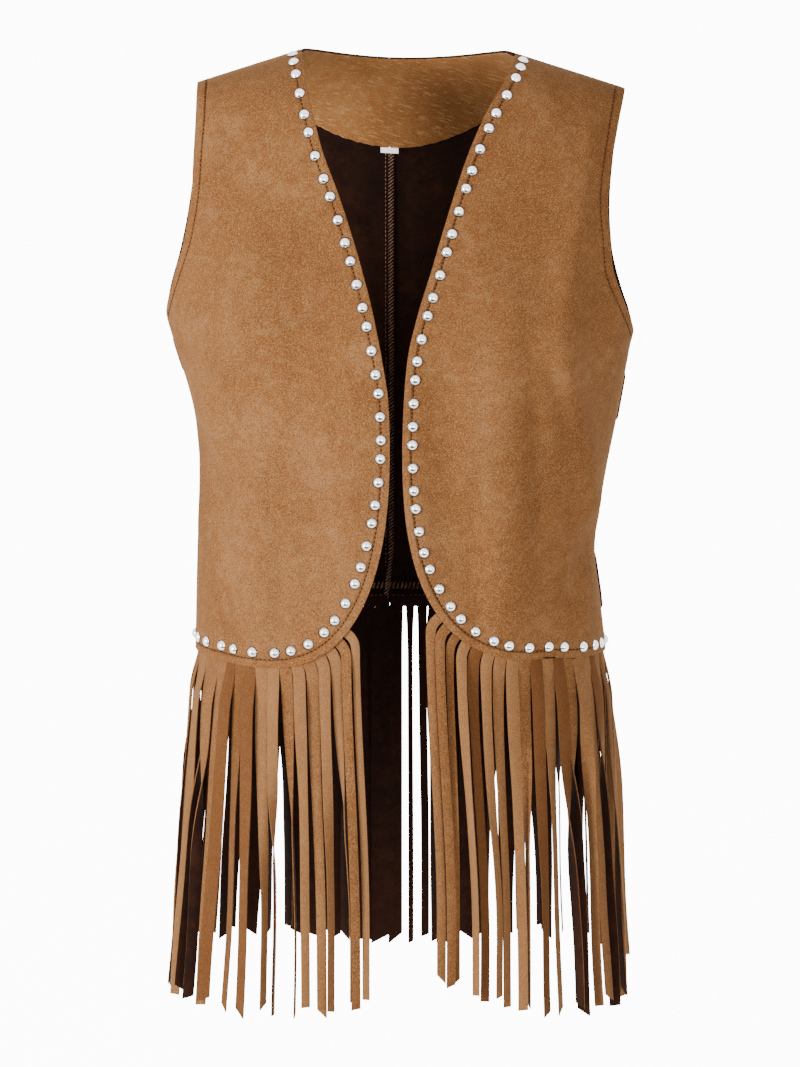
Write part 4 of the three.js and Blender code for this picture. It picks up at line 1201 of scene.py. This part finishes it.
# %% Neck facing
FACING_WALL = 1.2
FACING_COLUMNS = 40
facing_halves = []
for side in ("right", "left"):
    angles, heights, _ = back_grids[side]
    part = (slice(-FACING_ROWS, None), slice(0, FACING_COLUMNS + 1))
    facing_halves.append(cloth("back", angles[part], heights[part], -(WALL + SEAM_GAP)))
facing_points = np.concatenate((facing_halves[0][:, :0:-1], facing_halves[1]), axis=1)
rough = random.Random(5)
facing_points[-1, :, 2] += 0.7
facing_points[0, :, 2] += [rough.uniform(-0.5, 0.5) for _ in range(facing_points.shape[1])]
neck_facing = laid_cloth("cloth_neck_facing", facing_points)
turn_outwards(neck_facing, lambda centre: Vector((0, -1, -0.2)))
give_wall(neck_facing, FACING_WALL, facing_suede_with_painted_light, shaded_wrong_side, dark_rim=True)
neck_facing.modifiers["wall"].offset = 1
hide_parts("neck_facing")
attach(neck_facing, "root")
print("facing area", round(area_of(facing_points), 4), "m2")

# %% Label
LABEL_WIDTH, LABEL_DROP = 13.6, 4.3
label_low, label_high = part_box("neck_label")
label_back = label_high[1] / MM - 0.2
label_top = label_high[2] / MM


def label_point(share, across):
    radius = 0.7
    straight = LABEL_DROP - radius - 0.2
    length = 2 * straight + math.pi * radius
    walk = share * length
    if walk < straight:
        y, z = -2 * radius, -walk
    elif walk < straight + math.pi * radius:
        turn = (walk - straight) / radius
        y, z = -radius - radius * math.cos(turn), -straight - radius * math.sin(turn)
    else:
        y, z = 0.0, -straight + (walk - straight - math.pi * radius)
    tilt = math.radians(3) * across * LABEL_WIDTH / 2
    return CENTRE_BACK_X + across * LABEL_WIDTH / 2, label_back + y, label_top - 0.2 + z - tilt


label_points = np.array([[label_point(r / 20, c) for c in np.linspace(-1, 1, 9)] for r in range(21)])
label = laid_cloth("cloth_neck_label", label_points)
turn_outwards(label, lambda centre: Vector((0, -1 if centre.y < (label_back - 0.75) * MM else 1, 0)))
give_wall(label, 0.35, white_ribbon, white_ribbon, 0)
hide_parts("neck_label")
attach(label, "root")
print("label hangs from", round(label_top, 1))

# %% [markdown]
# ## Studs
#
# Each stud is a small dome with a rim, pressed through the cloth. One dome is made by spinning
# its profile, and copies of it are set along the edge, square to the cloth, where the fold of
# the hem brings them a little further in.

# %% Studs
STUD_PITCH = 17.0
STUD_END_CLEARANCE = 9.0
STUD_PROFILE = (
    (0.0, 2.7), (1.2, 2.55), (2.3, 2.1), (3.15, 1.38), (3.7, 0.6), (3.85, 0.22), (4.4, 0.1), (4.5, -0.4),
)
STUD_DOME_RADIUS = 3.86
STUD_INSET = (
    ("along", "right", "left"),
    (0, 6.6, 6.6), (0.5, 6.6, 7.5), (0.62, 11, 9), (0.72, 13, 12), (0.85, 11.5, 9), (1, 11, 7),
)

dome = bmesh.new()
profile = [dome.verts.new((radius * MM, 0, rise * MM)) for radius, rise in STUD_PROFILE]
edges = [dome.edges.new(pair) for pair in zip(profile[:-1], profile[1:])]
bmesh.ops.spin(
    dome, geom=profile + edges, cent=(0, 0, 0), axis=(0, 0, 1), angle=2 * math.pi, steps=18,
    use_merge=True)
bmesh.ops.remove_doubles(dome, verts=dome.verts, dist=1e-6)
bmesh.ops.recalc_face_normals(dome, faces=dome.faces)
if sum(polygon.normal.z for polygon in dome.faces) < 0:
    bmesh.ops.reverse_faces(dome, faces=dome.faces)
# Faces outside the dome get the dark rim material, a painted contact shadow.
for polygon in dome.faces:
    reach = max(vert.co.xy.length for vert in polygon.verts)
    polygon.material_index = 1 if reach > STUD_DOME_RADIUS * MM else 0
dome_mesh = bpy.data.meshes.new("stud_dome")
dome.to_mesh(dome_mesh)
dome.free()


def seat_matrix(point, normal, tangent):
    up = Vector(normal).normalized()
    along = Vector(tangent) - up * up.dot(Vector(tangent))
    along.normalize()
    aside = up.cross(along)
    matrix = Matrix((along, aside, up)).transposed().to_4x4()
    matrix.translation = Vector(point) * MM
    return matrix


def copies(name, template, matrices, *materials):
    whole = bmesh.new()
    for matrix in matrices:
        start = len(whole.verts)
        whole.from_mesh(template)
        whole.verts.ensure_lookup_table()
        bmesh.ops.transform(whole, matrix=matrix, verts=whole.verts[start:])
    for polygon in whole.faces:
        polygon.smooth = True
    piece = placed(name, whole)
    for material in materials:
        piece.data.materials.append(material)
    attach(piece, "root")
    return piece


for side in SIGN:
    along, flat, at = walks["front", side]
    run = float(along[-1]) - 2 * STUD_END_CLEARANCE
    count = round(run / STUD_PITCH)
    seats = []
    for i in range(count + 1):
        drift = 1.4 * math.sin(2.1 * i) if 0 < i < count else 0.0
        distance = STUD_END_CLEARANCE + run * i / count + drift
        inset = float(lookup(STUD_INSET, side, distance / along[-1], "along"))
        angle, z = inset_place("front", at(distance), inset)
        seats.append(seat_matrix(cloth("front", angle, z, 0.15), cloth_normal("front", angle, z), (0, 0, 1)))
    studs = copies(f"studs_{side}", dome_mesh, seats, plated_steel, painted_shadow_rim)
    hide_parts(f"stud_row_{side}")
    print(studs.name, len(seats))

# %% [markdown]
# ## Rows of stitches
#
# A lockstitch shows as short dashes of thread that dip into the cloth between them. One slim
# bead of thread is made and repeated along each row, half sunk in its groove.

# %% Stitch rows
STITCH_PITCH = 3.4
bead = bmesh.new()
bmesh.ops.create_uvsphere(bead, u_segments=6, v_segments=4, radius=1)
bmesh.ops.rotate(bead, verts=bead.verts, cent=(0, 0, 0), matrix=Matrix.Rotation(math.pi / 2, 3, "Y"))
bmesh.ops.scale(bead, verts=bead.verts, vec=(1.35 * MM, 0.42 * MM, 0.36 * MM))
bead_mesh = bpy.data.meshes.new("stitch_bead")
bead.to_mesh(bead_mesh)
bead.free()


def stitch_seats(points, normals, pitch=STITCH_PITCH):
    points, normals = np.array(points), np.array(normals)
    along = np.concatenate(([0], np.cumsum(np.linalg.norm(np.diff(points, axis=0), axis=1))))
    seats = []
    for distance in np.arange(pitch / 2, along[-1], pitch):
        point, before, after, normal = (
            np.array([np.interp(d, along, column) for column in values.T])
            for d, values in (
                (distance, points), (distance - 0.8, points), (distance + 0.8, points), (distance, normals))
        )
        seats.append(seat_matrix(point, normal, after - before))
    return seats


def edge_row(face, side, inset, lift, first=0.0, last=None):
    along, flat, at = walks[face, side]
    points, normals = [], []
    for distance in np.arange(first, along[-1] if last is None else last, 2.5):
        angle, z = inset_place(face, at(distance), inset)
        points.append(cloth(face, angle, z, lift))
        normals.append(cloth_normal(face, angle, z))
    return points, normals


def armhole_row(face, side, inset, lift):
    angles, heights, _ = (front_grids if face == "front" else back_grids)[side]
    distances = panel_data[face, side][1]["armhole_mm"]
    points, normals = [], []
    for row in range(len(distances)):
        line = distances[row, ::-1]
        if line[0] >= inset or line.max() < inset:
            continue
        column = int(np.argmax(line >= inset))
        share = (inset - line[column - 1]) / (line[column] - line[column - 1])
        angle, z = (
            values[row, ::-1][column - 1] * (1 - share) + values[row, ::-1][column] * share
            for values in (angles, heights)
        )
        if shoulder_z(x_at(face, angle, z)) - z < 0.8:
            continue
        points.append(cloth(face, angle, z, lift))
        normals.append(cloth_normal(face, angle, z))
    return points, normals


seats = []
for side in SIGN:
    seats += stitch_seats(*edge_row("front", side, 6.5, 0.08, first=1.5))
    seats += stitch_seats(*edge_row("back", side, 9.0, 0.08))
    for face in ("front", "back"):
        seats += stitch_seats(*armhole_row(face, side, 8.0, 0.08))
topstitch = copies("topstitch", bead_mesh, seats, dark_thread)
print("topstitch:", len(seats), "stitches")

# %% [markdown]
# ## Seam finish inside the back
#
# Inside, the centre back seam shows its raw edges, bound together by an overlock: a narrow dark
# band crossed by slanting loops of thread. The hem inside carries the same finish. The band is a
# strip laid on the inner face, and the loops are the stitch bead, drawn long and set aslant.

# %% Seam bands and loops
BAND_LIFT = -(WALL + 0.9)
SEAM_STITCH_X = -11.0
long_bead = bmesh.new()
long_bead.from_mesh(bead_mesh)
bmesh.ops.scale(long_bead, verts=long_bead.verts, vec=(2.3, 1.4, 1.3))
loop_mesh = bpy.data.meshes.new("overlock_loop")
long_bead.to_mesh(loop_mesh)
long_bead.free()


def inner_point(x, z, lift):
    angle = angle_at("back", x, z)
    return cloth("back", angle, z, lift)


def inner_normal(x, z):
    return -cloth_normal("back", angle_at("back", x, z), z)


def back_hem_at(x):
    return np.where(np.asarray(x) < 0, hem_z("back", "right", x), hem_z("back", "left", x))


seam_z = np.linspace(-88, -441, 120)
seam_x = -6.8 - 4.0 * smoothstep((-396 - seam_z) / 45)
centre_band = np.array([
    [inner_point(x + dx, z, BAND_LIFT) for dx in np.linspace(-2.9, 2.9, 5)] for x, z in zip(seam_x, seam_z)])
hem_x = np.linspace(-140, 140, 140)
hem_band = np.array([
    [inner_point(x, back_hem_at(x) + rise, BAND_LIFT) for rise in np.linspace(14, 20, 4)] for x in hem_x])
seam_bands = joined("seam_bands", [centre_band, hem_band], [(0, -1, 0), (0, -1, 0)], (0.5, 0.5))
give_wall(seam_bands, 0.7, shaded_wrong_side, shaded_wrong_side, 0)
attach(seam_bands, "root")

loops = []
for z in np.arange(-89.5, -440, -2.7):
    x = float(np.interp(-z, -seam_z, seam_x))
    loops.append(seat_matrix(inner_point(x, z, BAND_LIFT - 0.15), inner_normal(x, z), (1, 0, 0.85)))
for x in np.arange(-138, 138, 3.1):
    z = float(back_hem_at(x)) + 17
    loops.append(seat_matrix(inner_point(x, z, BAND_LIFT - 0.15), inner_normal(x, z), (0.3, 0, 1)))
overlock = copies("overlock_loops", loop_mesh, loops, loop_thread)

seam_line = np.arange(-88, -440, -2.5)
inner_seats = stitch_seats(
    [inner_point(SEAM_STITCH_X, z, -(WALL + 0.05)) for z in seam_line],
    [inner_normal(SEAM_STITCH_X, z) for z in seam_line],
)
hem_line = np.arange(-148, 148, 2.5)
inner_seats += stitch_seats(
    [inner_point(x, float(back_hem_at(x)) + 9, -(WALL + 0.05)) for x in hem_line],
    [inner_normal(x, float(back_hem_at(x)) + 9) for x in hem_line],
)
inner_stitches = copies("inner_stitches", bead_mesh, inner_seats, loop_thread)
print("overlock loops:", len(loops), "inner stitches:", len(inner_seats))

# %% [markdown]
# ## End of the scene
#

# %% End of the scene
print("scene built")
